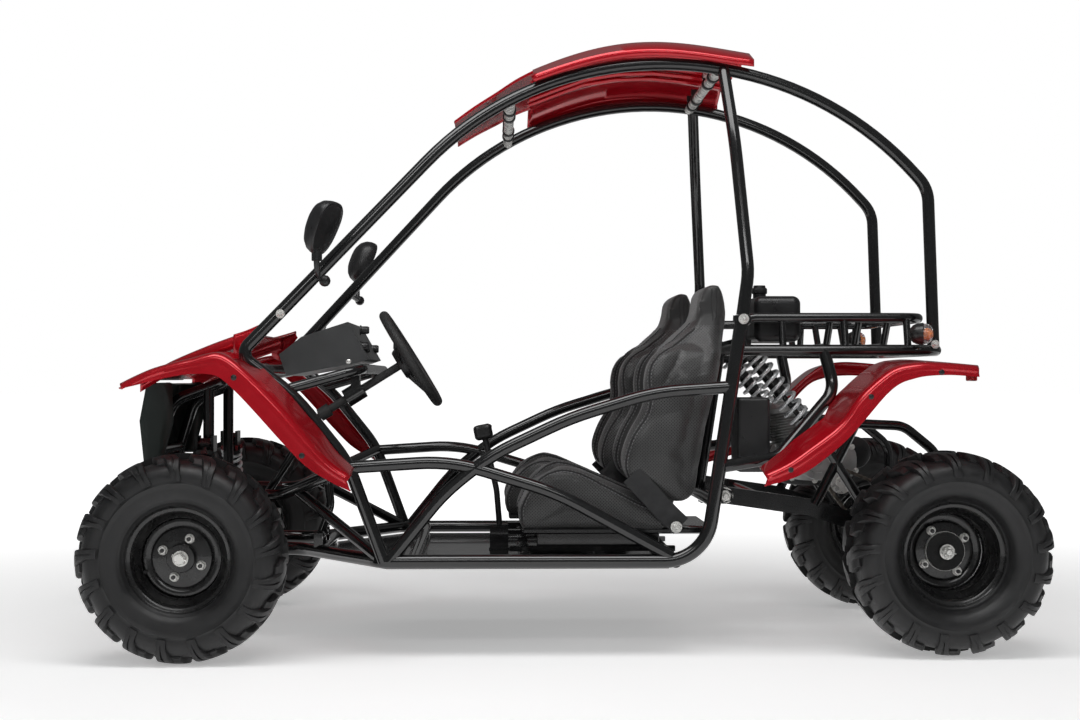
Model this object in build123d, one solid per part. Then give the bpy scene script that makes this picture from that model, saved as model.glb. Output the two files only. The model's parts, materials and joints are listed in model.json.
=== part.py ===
"""Two-seat off-road kart: tube frame, cage, suspension, steering, drive, controls and body panels.

Frame: +X forward, +Y to the driver's left, +Z up, millimetres.
Origin: on the ground, midway between the axles and midway across.
"""

from build123d import *
import os
from math import cos, radians, sin

os.makedirs("parts", exist_ok=True)

# ---------------------------------------------------------------- driving dimensions
AXLE_X = 818.0            # each axle, ahead of and behind the origin
TYRE_R = 220.0            # rolling radius, so also the axle height
RIM_R = 114.0             # rim flange radius (8 inch rim)
FRONT_WHEEL_Y, FRONT_TYRE_WIDE, FRONT_RIM_WIDE = 485.0, 170.0, 116.0
REAR_WHEEL_Y, REAR_TYRE_WIDE, REAR_RIM_WIDE = 405.0, 220.0, 136.0
FRONT_DISC_Y, REAR_DISC_Y = 492.0, 380.0

RAIL_D, BAR_D, TUBE_D, THIN_D = 30.0, 27.0, 25.0, 16.0
RAIL_Z = 206.0            # floor rail centre height
SIDE_Y = 450.0            # side rails and bars
NOSE_Y = 150.0            # rails between the front wheels
CAGE_Y = 295.0            # cage tubes behind the roof
ROOF_R = 735.0            # bend radius of the roof tubes
WELD_GAP = 0.05           # radial gap left where one tube is coped on another
SHEET = 3.0               # plastic panel thickness

ARM_IN_Y, ARM_OUT_Y = 190.0, 370.0      # front wishbone pivots
ARM_SPREAD = 70.0                       # half the distance between an arm's two inner pivots
ARM_DROP = 22.0                         # outer pivot below the inner one
LOWER_ARM_Z, UPPER_ARM_Z = 190.0, 300.0
KINGPIN_Y = 400.0
KINGPIN_R, PIN_R, BUSH_GAP = 8.0, 6.0, 0.05
STEER_ARM, TIE_X, TIE_OUT_Y, TIE_OUT_Z = 90.0, 728.0, 385.0, 252.0

WHEEL_CENTRE = Vector(353, 200, 641)    # steering wheel hub
JOINT_CENTRE = Vector(569, 200, 506)    # universal joint of the column
PINION = Vector(712, 96, 296)           # where the lower shaft meets the rack housing
WHEEL_RING_R, WHEEL_GRIP_R, SHAFT_R = 114.0, 11.0, 9.0

SWING_PIVOT = (-355.0, 333.0)           # X, Z of the swing arm pivot
SWING_Y, SWING_WIDE = 235.0, 30.0
AXLE_R = 15.0
FRONT_SHOCK = (Vector(818, 195, 447), Vector(818, 300, 205))
REAR_SHOCK = (Vector(-404.5, 200, 672), Vector(-566, 200, 467))
SPROCKET_R, PINION_R = 84.0, 26.0       # on the axle, and on the engine
PINION_AT = (-648.0, 352.0)             # X, Z of the engine sprocket
DISC_R = 88.0                           # brake disc

SEAT_Y, SEAT_WIDE, FAR_SEAT_SHIFT = 210.0, 376.0, 27.0


# ---------------------------------------------------------------- helpers
def bar(points, diameter, radii=()):
    """Round bar along straight runs joined by tangent arcs."""
    points = [Vector(*p) for p in points]
    if len(points) == 2:
        path = Line(*points)
    else:
        path = FilletPolyline(*points, radius=list(radii))
    section = Plane(origin=path @ 0, z_dir=path % 0) * Circle(diameter / 2)
    return sweep(section, path=path)


def rod(start, end, radius):
    """Straight cylinder from one point to another."""
    start, end = Vector(*start), Vector(*end)
    along = end - start
    return extrude(Plane(origin=start, z_dir=along) * Circle(radius), amount=along.length)


def tube(start, end, radius, bore):
    return rod(start, end, radius) - rod(start, end, bore)


def block(low, high):
    low, high = Vector(*low), Vector(*high)
    size = high - low
    return Pos(*((low + high) * 0.5)) * Box(size.X, size.Y, size.Z)


def side_plate(outline, y_low, y_high):
    """Flat piece with an X-Z outline, between two Y planes."""
    face = Plane.XZ.offset(-y_high) * make_face(Polyline(*outline, close=True))
    return extrude(face, amount=y_high - y_low)


def flip(points):
    return [(x, -y, z) for x, y, z in points]


def right_of(shape):
    return mirror(shape, about=Plane.XZ)


def solids_of(*shapes):
    """All solids of the shapes, without the slivers that coping can leave."""
    found = []
    for shape in shapes:
        found += [s for s in shape.solids() if s.volume > 400]
    return found


def boxes_meet(a, b, room=1.0):
    a, b = a.bounding_box(), b.bounding_box()
    return all(lo1 - room < hi2 and lo2 - room < hi1 for lo1, hi1, lo2, hi2 in (
        (a.min.X, a.max.X, b.min.X, b.max.X), (a.min.Y, a.max.Y, b.min.Y, b.max.Y),
        (a.min.Z, a.max.Z, b.min.Z, b.max.Z)))


placed = []               # every frame tube so far, a little oversize, for coping the next ones


def frame_tubes(specs, both_sides=False):
    """Tubes of one weldment, each coped on the tubes placed before it."""
    made = []
    for points, diameter, radii in specs:
        sides = [points, flip(points)] if both_sides else [points]
        for side in sides:
            piece = bar(side, diameter, radii)
            for cutter in placed:
                if boxes_meet(piece, cutter):
                    piece = piece - cutter
            placed.append(bar(side, diameter + 2 * WELD_GAP, radii))
            made += solids_of(piece)
    return made


def clear_of_tubes(shape):
    for cutter in placed:
        if boxes_meet(shape, cutter):
            shape = shape - cutter
    return solids_of(shape)


def put(node, *shapes):
    """Write one node: every solid of the shapes given."""
    solids = []
    for shape in shapes:
        solids += shape if isinstance(shape, list) else solids_of(shape)
    export_step(Compound(children=[Solid(s.wrapped) for s in solids]), f"parts/{node}.step")


def both(node_stem, shape_left):
    put(f"{node_stem}_left", shape_left)
    put(f"{node_stem}_right", right_of(shape_left))


# ---------------------------------------------------------------- frame
def floor_frame():
    rails = frame_tubes([([(930, NOSE_Y, 214), (600, NOSE_Y, RAIL_Z), (400, SIDE_Y, RAIL_Z),
                           (-287.5, SIDE_Y, RAIL_Z), (-368, SIDE_Y, 730)], RAIL_D, (70, 60, 100))], True)
    collars = [rod((-367.2, side * SIDE_Y, 716), (-368, side * SIDE_Y, 729.9), 20) for side in (1, -1)]
    collars = [c - bar([(-352, side * SIDE_Y, 628), (-368.1, side * SIDE_Y, 731)], RAIL_D + 0.1)
               for c, side in zip(collars, (1, -1))]
    cross_z = RAIL_Z - (RAIL_D - TUBE_D) / 2
    cross = frame_tubes([([(x, SIDE_Y, cross_z), (x, -SIDE_Y, cross_z)], TUBE_D, ())
                         for x in (340, 95, -70, -225)])
    cross += frame_tubes([([(560, 210, cross_z), (560, -210, cross_z)], TUBE_D, ()),
                          ([(700, NOSE_Y, 208), (700, -NOSE_Y, 208)], TUBE_D, ()),
                          ([(918, NOSE_Y, 213.7), (918, -NOSE_Y, 213.7)], TUBE_D, ())])
    seat_rails = [block((-235, side * y - 11, 216.1), (130, side * y + 11, 227)) for side in (1, -1)
                  for y in (95, 325)]
    lever_bracket = (block((128, -26, 191), (176, 26, 195)) + block((130, 9, 191), (174, 14, 248))
                     + block((130, -14, 191), (174, -9, 248)) + rod((150, -18, 228), (150, 18, 228), PIN_R))
    pedal_rod = rod((560, 45, 238), (560, 226, 238), PIN_R)
    pedal_ears = [block((550, y - 4, 216), (570, y + 4, 247)) for y in (52, 136, 220)]
    pedal_stand = pedal_rod + pedal_ears[0] + pedal_ears[1] + pedal_ears[2]
    put("floor_frame", rails, collars[0], collars[1], cross, seat_rails[0], seat_rails[1], seat_rails[2],
        seat_rails[3], lever_bracket, clear_of_tubes(pedal_stand))


def side_bars():
    leg = ([(617, 445.5, 740), (705, 461, 647), (590, 452, 561), (476, SIDE_Y, 419), (398, SIDE_Y, RAIL_Z)],
           BAR_D, (26, 400, 250))
    upper = ([(479, SIDE_Y, 406), (255, SIDE_Y, 420), (30, SIDE_Y, 352), (-215, SIDE_Y, 217)],
             BAR_D, (400, 600))
    armrest = ([(388, SIDE_Y, RAIL_Z), (272, SIDE_Y, 351), (170, SIDE_Y, 432), (0, SIDE_Y, 512),
                (-180, SIDE_Y, 567), (-346, SIDE_Y, 578)], BAR_D, (450, 450, 700, 500))
    put("side_bars", frame_tubes([leg, upper, armrest], True))


def front_frame():
    tubes = frame_tubes([([(930, NOSE_Y, 335), (650, NOSE_Y, 328), (472, 444, 408)], TUBE_D, (60,)),
                         ([(612, 205, 344), (410, 440, 214)], TUBE_D, ()),
                         ([(926, NOSE_Y, 213), (938, NOSE_Y, 420), (900, NOSE_Y, 545), (780, NOSE_Y, 590),
                           (664, 330, 618)], TUBE_D, (60, 60, 50)),
                         ([(818, NOSE_Y, 332), (818, NOSE_Y, 578)], TUBE_D, ())], True)
    tubes = frame_tubes([([(662, 452, 616), (662, -452, 616)], TUBE_D, ())]) + tubes
    tubes += frame_tubes([([(x, NOSE_Y, z), (x, -NOSE_Y, z)], TUBE_D, ())
                          for x, z in ((915, 334.6), (937, 430), (770, 331))])
    hoop = [(605, 446, 573), (450, 400, 617), (450, -400, 617), (605, -446, 573)]
    tubes += frame_tubes([(hoop, 22, (50, 50))])
    ears = []
    for side in (1, -1):
        for x in (800, 836):
            ear = block((x - 3, side * 187 - 26, 430), (x + 3, side * 187 + 26, 466))
            ears += clear_of_tubes(ear)
        ears += solids_of(rod((797, side * 195, 447), (839, side * 195, 447), PIN_R))
        for z in (LOWER_ARM_Z, UPPER_ARM_Z):
            for x in (AXLE_X - 48, AXLE_X + 48):
                lug = block((x - 4, side * 176 - 26, z - 14), (x + 4, side * 176 + 26, z + 40))
                ears += clear_of_tubes(lug)
            pin_y = side * ARM_IN_Y
            ears += solids_of(rod((AXLE_X - 84, pin_y, z), (AXLE_X + 84, pin_y, z), PIN_R))
    put("front_frame", tubes, merged(ears))


def merged(pieces):
    """Merge pieces of one bracket set that run into each other."""
    whole = pieces[0]
    for piece in pieces[1:]:
        whole = whole + piece
    return whole


def roll_cage():
    pillar_foot = Vector(616.5, 445.4, 740.5)
    side_tube = ([tuple(pillar_foot), (170, 372, 1214), (-236, 300, 1324), (-640, CAGE_Y, 1205),
                  (-806, CAGE_Y, 1021), (-818, CAGE_Y, 660)], BAR_D, (ROOF_R, ROOF_R, ROOF_R, 80))
    b_pillar = ([(-368.2, SIDE_Y, 731.5), (-381, SIDE_Y, 823), (-361, 385, 1114), (-346, 306, 1284)],
                BAR_D, (150, 500))
    tubes = frame_tubes([side_tube, b_pillar], True)
    cross = frame_tubes([([(129, 366, 1204), (129, -366, 1204)], 22, ()),
                         ([(-335, 300, 1283), (-335, -300, 1283)], 22, ())])
    mirror_stubs = []
    for side in (1, -1):
        mirror_stubs += clear_of_tubes(rod((545, side * 432, 816), (526.5, side * 473.5, 804), 6))
    put("roll_cage", tubes, cross, mirror_stubs)


def rear_frame():
    cross = frame_tubes([([(-357, SIDE_Y, 659), (-357, -SIDE_Y, 659)], TUBE_D, ()),
                         ([(-307, SIDE_Y, 333), (-307, -SIDE_Y, 333)], RAIL_D, ())])
    lower = [(-350, 300, 659), (-828, 300, 659), (-828, -300, 659), (-350, -300, 659)]
    upper = [(-388, 299, 660), (-388, 280, 732), (-797, 280, 732), (-797, -280, 732), (-388, -280, 732),
             (-388, -299, 660)]
    rack = frame_tubes([(lower, TUBE_D, (30, 30)), (upper, 22, (35, 50, 50, 35))])
    basket = [([(x, 280, 732), (x, 225, 668), (x, -225, 668), (x, -280, 732)], THIN_D, (30, 30))
              for x in (-590, -655, -720)]
    posts = [([(x, side * 300, 659), (x, side * 280, 732)], THIN_D, ()) for x in (-480, -620, -760)
             for side in (1, -1)]
    rack += frame_tubes(basket + posts)
    supports = frame_tubes([([(-572, 300, 655), (-592, 315, 570), (-450, 412, 425), (-326, SIDE_Y, 408)],
                             BAR_D, (60, 60)),
                            ([(-307, 150, 333), (-357, 150, 659)], TUBE_D, ())], True)
    plates = []
    for side in (1, -1):
        for y in (184, 216):
            outline = [(-352, 640), (-352, 678), (-398, 690), (-420, 684), (-420, 660), (-398, 652)]
            plates += clear_of_tubes(side_plate(outline, side * y - 2.5, side * y + 2.5))
        plates += solids_of(rod((-404.5, side * 181, 672), (-404.5, side * 219, 672), PIN_R))
        for y in (214, 256):
            outline = [(-300, 316), (-300, 350), (-345, 352), (-372, 343), (-372, 322), (-345, 314)]
            plates += clear_of_tubes(side_plate(outline, side * y - 3, side * y + 3))
        x, z = SWING_PIVOT
        plates += solids_of(rod((x, side * 208, z), (x, side * 262, z), KINGPIN_R))
    put("rear_frame", cross, rack, supports, merged(plates))


# ---------------------------------------------------------------- body panels
def band(points, thickness):
    """Closed outline that follows the points, with the same points lower by the thickness."""
    return points + [(x, z - thickness) for x, z in reversed(points)]


def floor_pan():
    outline = [(-212, 428), (395, 428), (592, 132), (905, 132), (905, -132), (592, -132), (395, -428),
               (-212, -428)]
    pan = extrude(Plane.XY.offset(187.5) * make_face(Polyline(*outline, close=True)), amount=SHEET)
    put("floor_pan", pan)


def front_fenders():
    crown = [(935, 585), (868, 616), (790, 637), (754, 648), (731, 649.5), (703, 634), (660, 596), (597, 531),
             (550, 475), (503, 424), (460, 394)]
    under = [(460, 364), (544, 415), (623, 487), (679, 547), (726, 590), (766, 606), (868, 596), (935, 580)]
    lip = side_plate(crown + under, 566, 570)
    over_wheel = side_plate(band(crown[:6], SHEET), 340, 568)
    behind_wheel = side_plate(band(crown[5:], SHEET), 474, 568)
    both_in_one("front_fenders", lip + over_wheel + behind_wheel)


def rear_fenders():
    crown = [(-405, 395), (-500, 450), (-565, 500), (-610, 560), (-660, 605), (-690, 622), (-750, 630),
             (-860, 623)]
    under = [(-860, 600), (-750, 600), (-690, 585), (-660, 560), (-610, 502), (-565, 455), (-500, 405),
             (-405, 370)]
    lip = side_plate(crown + under, 516, 520)
    front = side_plate(band(crown[:3], SHEET), 446, 518)
    top = side_plate(band(crown[2:], SHEET), 318, 518)
    both_in_one("rear_fenders", lip + front + top)


def both_in_one(node, left):
    put(node, left, right_of(left))


def hood_panel():
    """Sloping hood whose rear corners rise, with a skirt hanging under each side."""
    slope = side_plate(band([(938, 596), (860, 640), (789, 670), (735, 690), (705, 700)], SHEET), -335, 335)
    skirt = [(938, 596), (860, 640), (789, 670), (735, 690), (672, 714), (666, 696), (700, 640), (790, 636),
             (860, 622), (935, 590)]
    for side in (1, -1):
        slope = slope + side_plate(band([(706, 699.6), (672, 714)], SHEET), side * 268 - 67, side * 268 + 67)
        slope = slope + side_plate(skirt, side * 333.5 - 1.5, side * 333.5 + 1.5)
    put("hood_panel", slope)


def nose_cover():
    """Front shield with side cheeks that run back along the nose."""
    face = side_plate([(956, 408), (966, 500), (950, 584), (946, 584), (962, 500), (952, 409)], -210, 210)
    cheek = [(950, 584), (966, 500), (956, 408), (928, 424), (881, 502), (905, 584)]
    for side in (1, -1):
        face = face + side_plate(cheek, side * 208.5 - 1.5, side * 208.5 + 1.5)
    put("nose_cover", face)


def roof_section(x, half_low, half_high, z_low, z_high, inset):
    """Rim of the roof panel at one station: a shallow trapezium open below."""
    outer = [(-half_low, z_low), (-half_low, z_low + 14), (-half_high, z_high), (half_high, z_high),
             (half_low, z_low + 14), (half_low, z_low)]
    inner = [(half_low - inset, z_low), (half_low - inset, z_low + 13), (half_high - 1, z_high - inset),
             (-half_high + 1, z_high - inset), (-half_low + inset, z_low + 13), (-half_low + inset, z_low)]
    return Plane.YZ.offset(x) * make_face(Polyline(*(outer + inner), close=True))


def roof_panel():
    over = loft([roof_section(x, hl, hh, zl, zh, SHEET) for x, hl, hh, zl, zh in (
        (-412, 327, 250, 1287, 1332), (-228, 334, 250, 1308, 1356), (-60, 354, 262, 1291, 1340),
        (78, 380, 280, 1242, 1288))], ruled=True)
    tip = side_plate(band([(70, 1288), (160, 1240), (255, 1182)], SHEET), -278, 278)
    for side in (1, -1):
        corner = Plane.XY.offset(1100) * make_face(
            Polyline((60, side * 279), (262, side * 200), (262, side * 300), (60, side * 300), close=True))
        tip = tip - extrude(corner, amount=220)
    put("roof_panel", over + tip)


def dash_panel():
    outline = [(495, 724), (447, 640), (470, 632), (634, 602), (650, 650), (600, 690)]
    case = side_plate(outline, -215, 215) - side_plate([(500, 716), (456, 642), (628, 608), (640, 648),
                                                         (598, 684)], -212, 212)
    put("dash_panel", clear_of_tubes(case))


def fuel_tank():
    box = Pos(-478, 125, 731) * Box(106, 236, 104)
    box = fillet(box.edges(), 18)
    neck = rod((-453, 125, 780), (-453, 125, 792), 15)
    put("fuel_tank", clear_of_tubes(box + neck))
    cap = rod((-453, 125, 792.3), (-453, 125, 806), 18) + rod((-453, 125, 805), (-453, 125, 812), 14)
    put("fuel_cap", cap)


def battery_box():
    box = Pos(-407, 296, 472) * Box(72, 116, 164)
    put("battery_box", clear_of_tubes(fillet(box.edges(), 8)))


def rear_lamps():
    """Round indicators that face backwards on a short stalk, and a reflector on each fender."""
    bowl = rod((-755, 354, 694), (-779, 360, 694), 22) + rod((-778, 359.8, 694), (-801, 365.5, 694), 19)
    bowl = bowl + rod((-772, 314.2, 682), (-772, 345, 690), 6.5)
    reflector = block((-872, 392, 590), (-862, 462, 620))
    put("rear_lamps", clear_of_tubes(bowl), clear_of_tubes(right_of(bowl)), reflector, right_of(reflector))


# ---------------------------------------------------------------- steering
def steering():
    down = (JOINT_CENTRE - WHEEL_CENTRE).normalized()
    hub_plane = Plane(origin=WHEEL_CENTRE, x_dir=(0, 1, 0), z_dir=-down)
    wheel = hub_plane * Pos(0, 0, -24) * Cylinder(32, 14)
    for angle in (90, 210, 330):
        reach = Vector(cos(radians(angle)), sin(radians(angle)), 0)
        inner = hub_plane.from_local_coords(reach * 26 + Vector(0, 0, -24))
        outer = hub_plane.from_local_coords(reach * (WHEEL_RING_R - WHEEL_GRIP_R + 2))
        wheel = wheel + rod(inner, outer, 6.5)
    shaft_start = WHEEL_CENTRE + down * 24
    wheel = wheel + rod(shaft_start, JOINT_CENTRE - down * 10, SHAFT_R) + rod(
        JOINT_CENTRE - down * 38, JOINT_CENTRE - down * 12, 15) + Pos(*JOINT_CENTRE) * Sphere(9)
    wheel = wheel + rod(JOINT_CENTRE - down * 14, JOINT_CENTRE, 6)
    ring = revolve(Plane.XZ * Pos(WHEEL_RING_R, 0) * Circle(WHEEL_GRIP_R), Axis.Z)
    put("steering_wheel", wheel + hub_plane * Rot(0, 0, 30) * ring)
    lower = (PINION - JOINT_CENTRE).normalized()
    shaft = rod(JOINT_CENTRE + lower * 13, JOINT_CENTRE + lower * 38, 15)
    shaft = shaft + rod(JOINT_CENTRE + lower * 30, PINION - lower * 8, SHAFT_R)
    put("steering_shaft", shaft)
    bearing_at = WHEEL_CENTRE + down * 150
    bearing = tube(bearing_at - down * 22, bearing_at + down * 22, 21, SHAFT_R + BUSH_GAP)
    post = block((468, 182, 556), (488, 218, 604)) - rod(bearing_at - down * 60, bearing_at + down * 60, 20.5)
    bearing = clear_of_tubes(bearing + post)
    tie_in_y, tie_in_z = TIE_OUT_Y - (ARM_OUT_Y - ARM_IN_Y), TIE_OUT_Z + ARM_DROP
    housing = tube((TIE_X, -150, tie_in_z), (TIE_X, 150, tie_in_z), 18, 11.1)
    hollow = rod((TIE_X, -160, tie_in_z), (TIE_X, 160, tie_in_z), 17)
    boss = rod(PINION - lower * 6, PINION + lower * 12, 20) - hollow
    for y in (-70, 70):
        boss = boss + (block((700, y - 10, 214), (736, y + 10, 262)) - hollow)
    put("steering_mounts", bearing, clear_of_tubes(housing + boss))
    rack = rod((TIE_X, -tie_in_y + 14, tie_in_z), (TIE_X, tie_in_y - 14, tie_in_z), 11)
    put("steering_rack", rack)
    tie = rod((TIE_X, tie_in_y + 2, tie_in_z), (TIE_X, TIE_OUT_Y, TIE_OUT_Z), 6)
    tie = tie + Pos(TIE_X, tie_in_y, tie_in_z) * Sphere(11) + rod((TIE_X, TIE_OUT_Y, TIE_OUT_Z - 7),
                                                                 (TIE_X, TIE_OUT_Y, TIE_OUT_Z + 7), 12)
    both("tie_rod", tie)


# ---------------------------------------------------------------- front suspension
def wishbone(inner_z, spread):
    """Welded A-shaped arm: two legs, pivot tubes and an outer bush."""
    outer_z = inner_z - ARM_DROP
    arm = tube((AXLE_X - 17, ARM_OUT_Y, outer_z), (AXLE_X + 17, ARM_OUT_Y, outer_z), 13, PIN_R + BUSH_GAP)
    for way in (1, -1):
        x_in = AXLE_X + way * spread
        arm = arm + tube((x_in - 13, ARM_IN_Y, inner_z), (x_in + 13, ARM_IN_Y, inner_z), 13, PIN_R + BUSH_GAP)
        leg = rod((x_in, ARM_IN_Y + 4, inner_z - 0.4), (AXLE_X + way * 4, ARM_OUT_Y - 4, outer_z + 0.4), 9)
        arm = arm + leg
    arm = arm - rod((AXLE_X - 30, ARM_OUT_Y, outer_z), (AXLE_X + 30, ARM_OUT_Y, outer_z), PIN_R + BUSH_GAP)
    return arm - rod((AXLE_X - 100, ARM_IN_Y, inner_z), (AXLE_X + 100, ARM_IN_Y, inner_z), PIN_R + BUSH_GAP)


def front_corner():
    shock_low = FRONT_SHOCK[1]
    lower = wishbone(LOWER_ARM_Z, ARM_SPREAD)
    shelf_z = LOWER_ARM_Z - ARM_DROP * (shock_low.Y - ARM_IN_Y) / (ARM_OUT_Y - ARM_IN_Y)
    lower = lower + block((AXLE_X - 36, shock_low.Y - 16, shelf_z - 4),
                          (AXLE_X + 36, shock_low.Y + 16, shelf_z + 4))
    for way in (1, -1):
        lower = lower + block((AXLE_X + way * 20 - 3, shock_low.Y - 13, shelf_z),
                              (AXLE_X + way * 20 + 3, shock_low.Y + 13, shock_low.Z + 12))
    lower = lower + rod((AXLE_X - 23, shock_low.Y, shock_low.Z), (AXLE_X + 23, shock_low.Y, shock_low.Z), 5)
    both("lower_arm", lower)
    both("upper_arm", wishbone(UPPER_ARM_Z, ARM_SPREAD))

    low_z, high_z = LOWER_ARM_Z - ARM_DROP, UPPER_ARM_Z - ARM_DROP
    carrier = block((AXLE_X - 26, 361, low_z - 11), (AXLE_X - 18, 376, high_z + 11)) + block(
        (AXLE_X + 18, 361, low_z - 11), (AXLE_X + 26, 376, high_z + 11))
    for z in (low_z - 3, high_z + 3):
        carrier = carrier + block((AXLE_X - 26, 385, z - 9), (AXLE_X + 26, 391, z + 9))
    for z in (low_z, high_z):
        for way in (1, -1):
            x = AXLE_X + way * 22
            carrier = carrier + block((x - 4, ARM_OUT_Y - 9, z - 11), (x + 4, 391, z + 11))
        carrier = carrier + rod((AXLE_X - 24, ARM_OUT_Y, z), (AXLE_X + 24, ARM_OUT_Y, z), PIN_R)
    carrier = carrier + block((AXLE_X - 14, 386, low_z - 12), (AXLE_X + 14, KINGPIN_Y + 14, low_z + 6))
    carrier = carrier + block((AXLE_X - 14, 386, high_z - 6), (AXLE_X + 14, KINGPIN_Y + 14, high_z + 12))
    carrier = carrier + rod((AXLE_X, KINGPIN_Y, low_z), (AXLE_X, KINGPIN_Y, high_z), KINGPIN_R)
    both("kingpin_carrier", carrier)

    sleeve_low, sleeve_high = low_z + 6.3, high_z - 6.3
    knuckle = rod((AXLE_X, KINGPIN_Y, sleeve_low), (AXLE_X, KINGPIN_Y, sleeve_high), 14)
    knuckle = knuckle + rod((AXLE_X, KINGPIN_Y + 6, TYRE_R), (AXLE_X, 536, TYRE_R), 9.9)
    knuckle = knuckle + rod((AXLE_X, KINGPIN_Y + 6, TYRE_R), (AXLE_X, 446, TYRE_R), 17)
    arm_z = TIE_OUT_Z - 8.5
    reach = [(AXLE_X - 2, KINGPIN_Y + 8), (AXLE_X - 2, KINGPIN_Y - 6), (TIE_X - 10, TIE_OUT_Y - 8),
             (TIE_X - 10, TIE_OUT_Y + 10)]
    steer_arm = extrude(Plane.XY.offset(arm_z - 9) * make_face(Polyline(*reach, close=True)), amount=8)
    knuckle = knuckle + steer_arm
    knuckle = knuckle - rod((AXLE_X, KINGPIN_Y, 100), (AXLE_X, KINGPIN_Y, 400), KINGPIN_R + BUSH_GAP)
    both("knuckle", knuckle)


# ---------------------------------------------------------------- wheels
def revolved_wheel(profile, x, y):
    """Turn a closed radius-width outline about the wheel's own axis."""
    face = make_face(Polyline(*profile, close=True))
    turned = revolve(face, Axis.Y)
    return Pos(x, y, TYRE_R) * turned


def tyre(x, y, wide, rim_wide):
    half, rim_half = wide / 2, rim_wide / 2 - 3
    bead = RIM_R - 12
    outer = [(bead, rim_half - 0.3), (RIM_R + 1, rim_half - 0.3), (RIM_R + 11, half - 10), (150, half),
             (188, half - 2), (208, half - 20), (TYRE_R, half - 42)]
    inner = [(206, half - 46), (196, half - 24), (180, half - 13), (150, half - 12), (RIM_R + 11, half - 22),
             (RIM_R + 1, rim_half - 10), (bead, rim_half - 10)]
    right = [(r, w) for r, w in outer]
    left = [(r, -w) for r, w in reversed(outer)]
    back = [(r, -w) for r, w in reversed(inner)]
    front = [(r, w) for r, w in inner]
    profile = right + left + list(reversed(back)) + list(reversed(front))
    return revolved_wheel(profile, x, y)


def rim(x, y, wide, disc_y, bore):
    half, well = wide / 2, 84.0
    seat = RIM_R - 12.3
    wall = 3.0
    disc = disc_y - y
    outer = [(RIM_R, half), (RIM_R, half - wall), (seat, half - wall), (seat, half - 22),
             (well, half - 34), (well, -half + 34), (seat, -half + 22), (seat, -half + wall),
             (RIM_R, -half + wall), (RIM_R, -half)]
    inner = [(seat - wall, -half), (seat - wall, -half + 24), (well - wall, -half + 36),
             (well - wall, disc - wall), (bore, disc - wall), (bore, disc + wall),
             (well - wall, disc + wall), (well - wall, half - 36), (seat - wall, half - 24),
             (seat - wall, half)]
    return revolved_wheel(outer + inner, x, y)


def front_wheels():
    rubber = tyre(AXLE_X, FRONT_WHEEL_Y, FRONT_TYRE_WIDE, FRONT_RIM_WIDE)
    steel = rim(AXLE_X, FRONT_WHEEL_Y, FRONT_RIM_WIDE, FRONT_DISC_Y, 30)
    steel = steel + tube((AXLE_X, 452, TYRE_R), (AXLE_X, 520, TYRE_R), 30.5, 10)
    steel = steel + tube((AXLE_X, FRONT_DISC_Y - 12, TYRE_R), (AXLE_X, FRONT_DISC_Y - 3, TYRE_R), 60, 10)
    both("front_tyre", rubber)
    both("front_rim", steel)


def rear_drive():
    tyre_left = tyre(-AXLE_X, REAR_WHEEL_Y, REAR_TYRE_WIDE, REAR_RIM_WIDE)
    rim_left = rim(-AXLE_X, REAR_WHEEL_Y, REAR_RIM_WIDE, REAR_DISC_Y, 43)
    both_in_one("rear_tyres", tyre_left)
    both_in_one("rear_rims", rim_left)
    axle = rod((-AXLE_X, -412, TYRE_R), (-AXLE_X, 412, TYRE_R), AXLE_R - 0.05)
    for side in (1, -1):
        hub_end, flange = side * (REAR_DISC_Y + 16), side * (REAR_DISC_Y - 3.2)
        axle = axle + rod((-AXLE_X, side * 320, TYRE_R), (-AXLE_X, hub_end, TYRE_R), 42.8)
        axle = axle + rod((-AXLE_X, side * (REAR_DISC_Y - 14), TYRE_R), (-AXLE_X, flange, TYRE_R), 66)
    sprocket = rod((-AXLE_X, 97, TYRE_R), (-AXLE_X, 103, TYRE_R), SPROCKET_R)
    disc = rod((-AXLE_X, -102, TYRE_R), (-AXLE_X, -98, TYRE_R), DISC_R)
    carriers = rod((-AXLE_X, 90, TYRE_R), (-AXLE_X, 110, TYRE_R), 34) + rod(
        (-AXLE_X, -110, TYRE_R), (-AXLE_X, -90, TYRE_R), 34)
    put("rear_axle", axle + sprocket + disc + carriers)


def stadium(r_big, r_small):
    """Outline of a belt round the axle sprocket and the engine sprocket."""
    x, z = PINION_AT
    circles = Pos(-AXLE_X, TYRE_R) * Circle(r_big) + Pos(x, z) * Circle(r_small)
    return make_hull(circles.edges())


def drive():
    outer, inner = stadium(SPROCKET_R + 9, PINION_R + 9), stadium(SPROCKET_R + 0.6, PINION_R + 0.6)
    chain = extrude(Plane.XZ.offset(-106) * (outer - inner), amount=12)
    put("drive_chain", chain)
    x, z = PINION_AT
    put("drive_sprocket", rod((x, 97, z), (x, 103, z), PINION_R) + rod((x, 78.3, z), (x, 112, z), 12))

    case = Pos(-600, 0, 402) * Box(190, 150, 96)
    case = fillet(case.edges().filter_by(Axis.Y), 26)
    cvt = side_plate([(-500, 352), (-500, 420), (-560, 452), (-660, 440), (-706, 400), (-700, 352),
                      (-650, 334), (-550, 334)], -150, -76)
    barrel = rod((-545, 0, 440), (-528, 0, 520), 48) + rod((-528, 0, 520), (-523, 0, 545), 56)
    stub = rod((x, 60, z), (x, 78, z), 22)
    muffler = rod((-690, -60, 420), (-690, 60, 420), 38)
    put("engine", case + cvt + barrel + stub + muffler)


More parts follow.
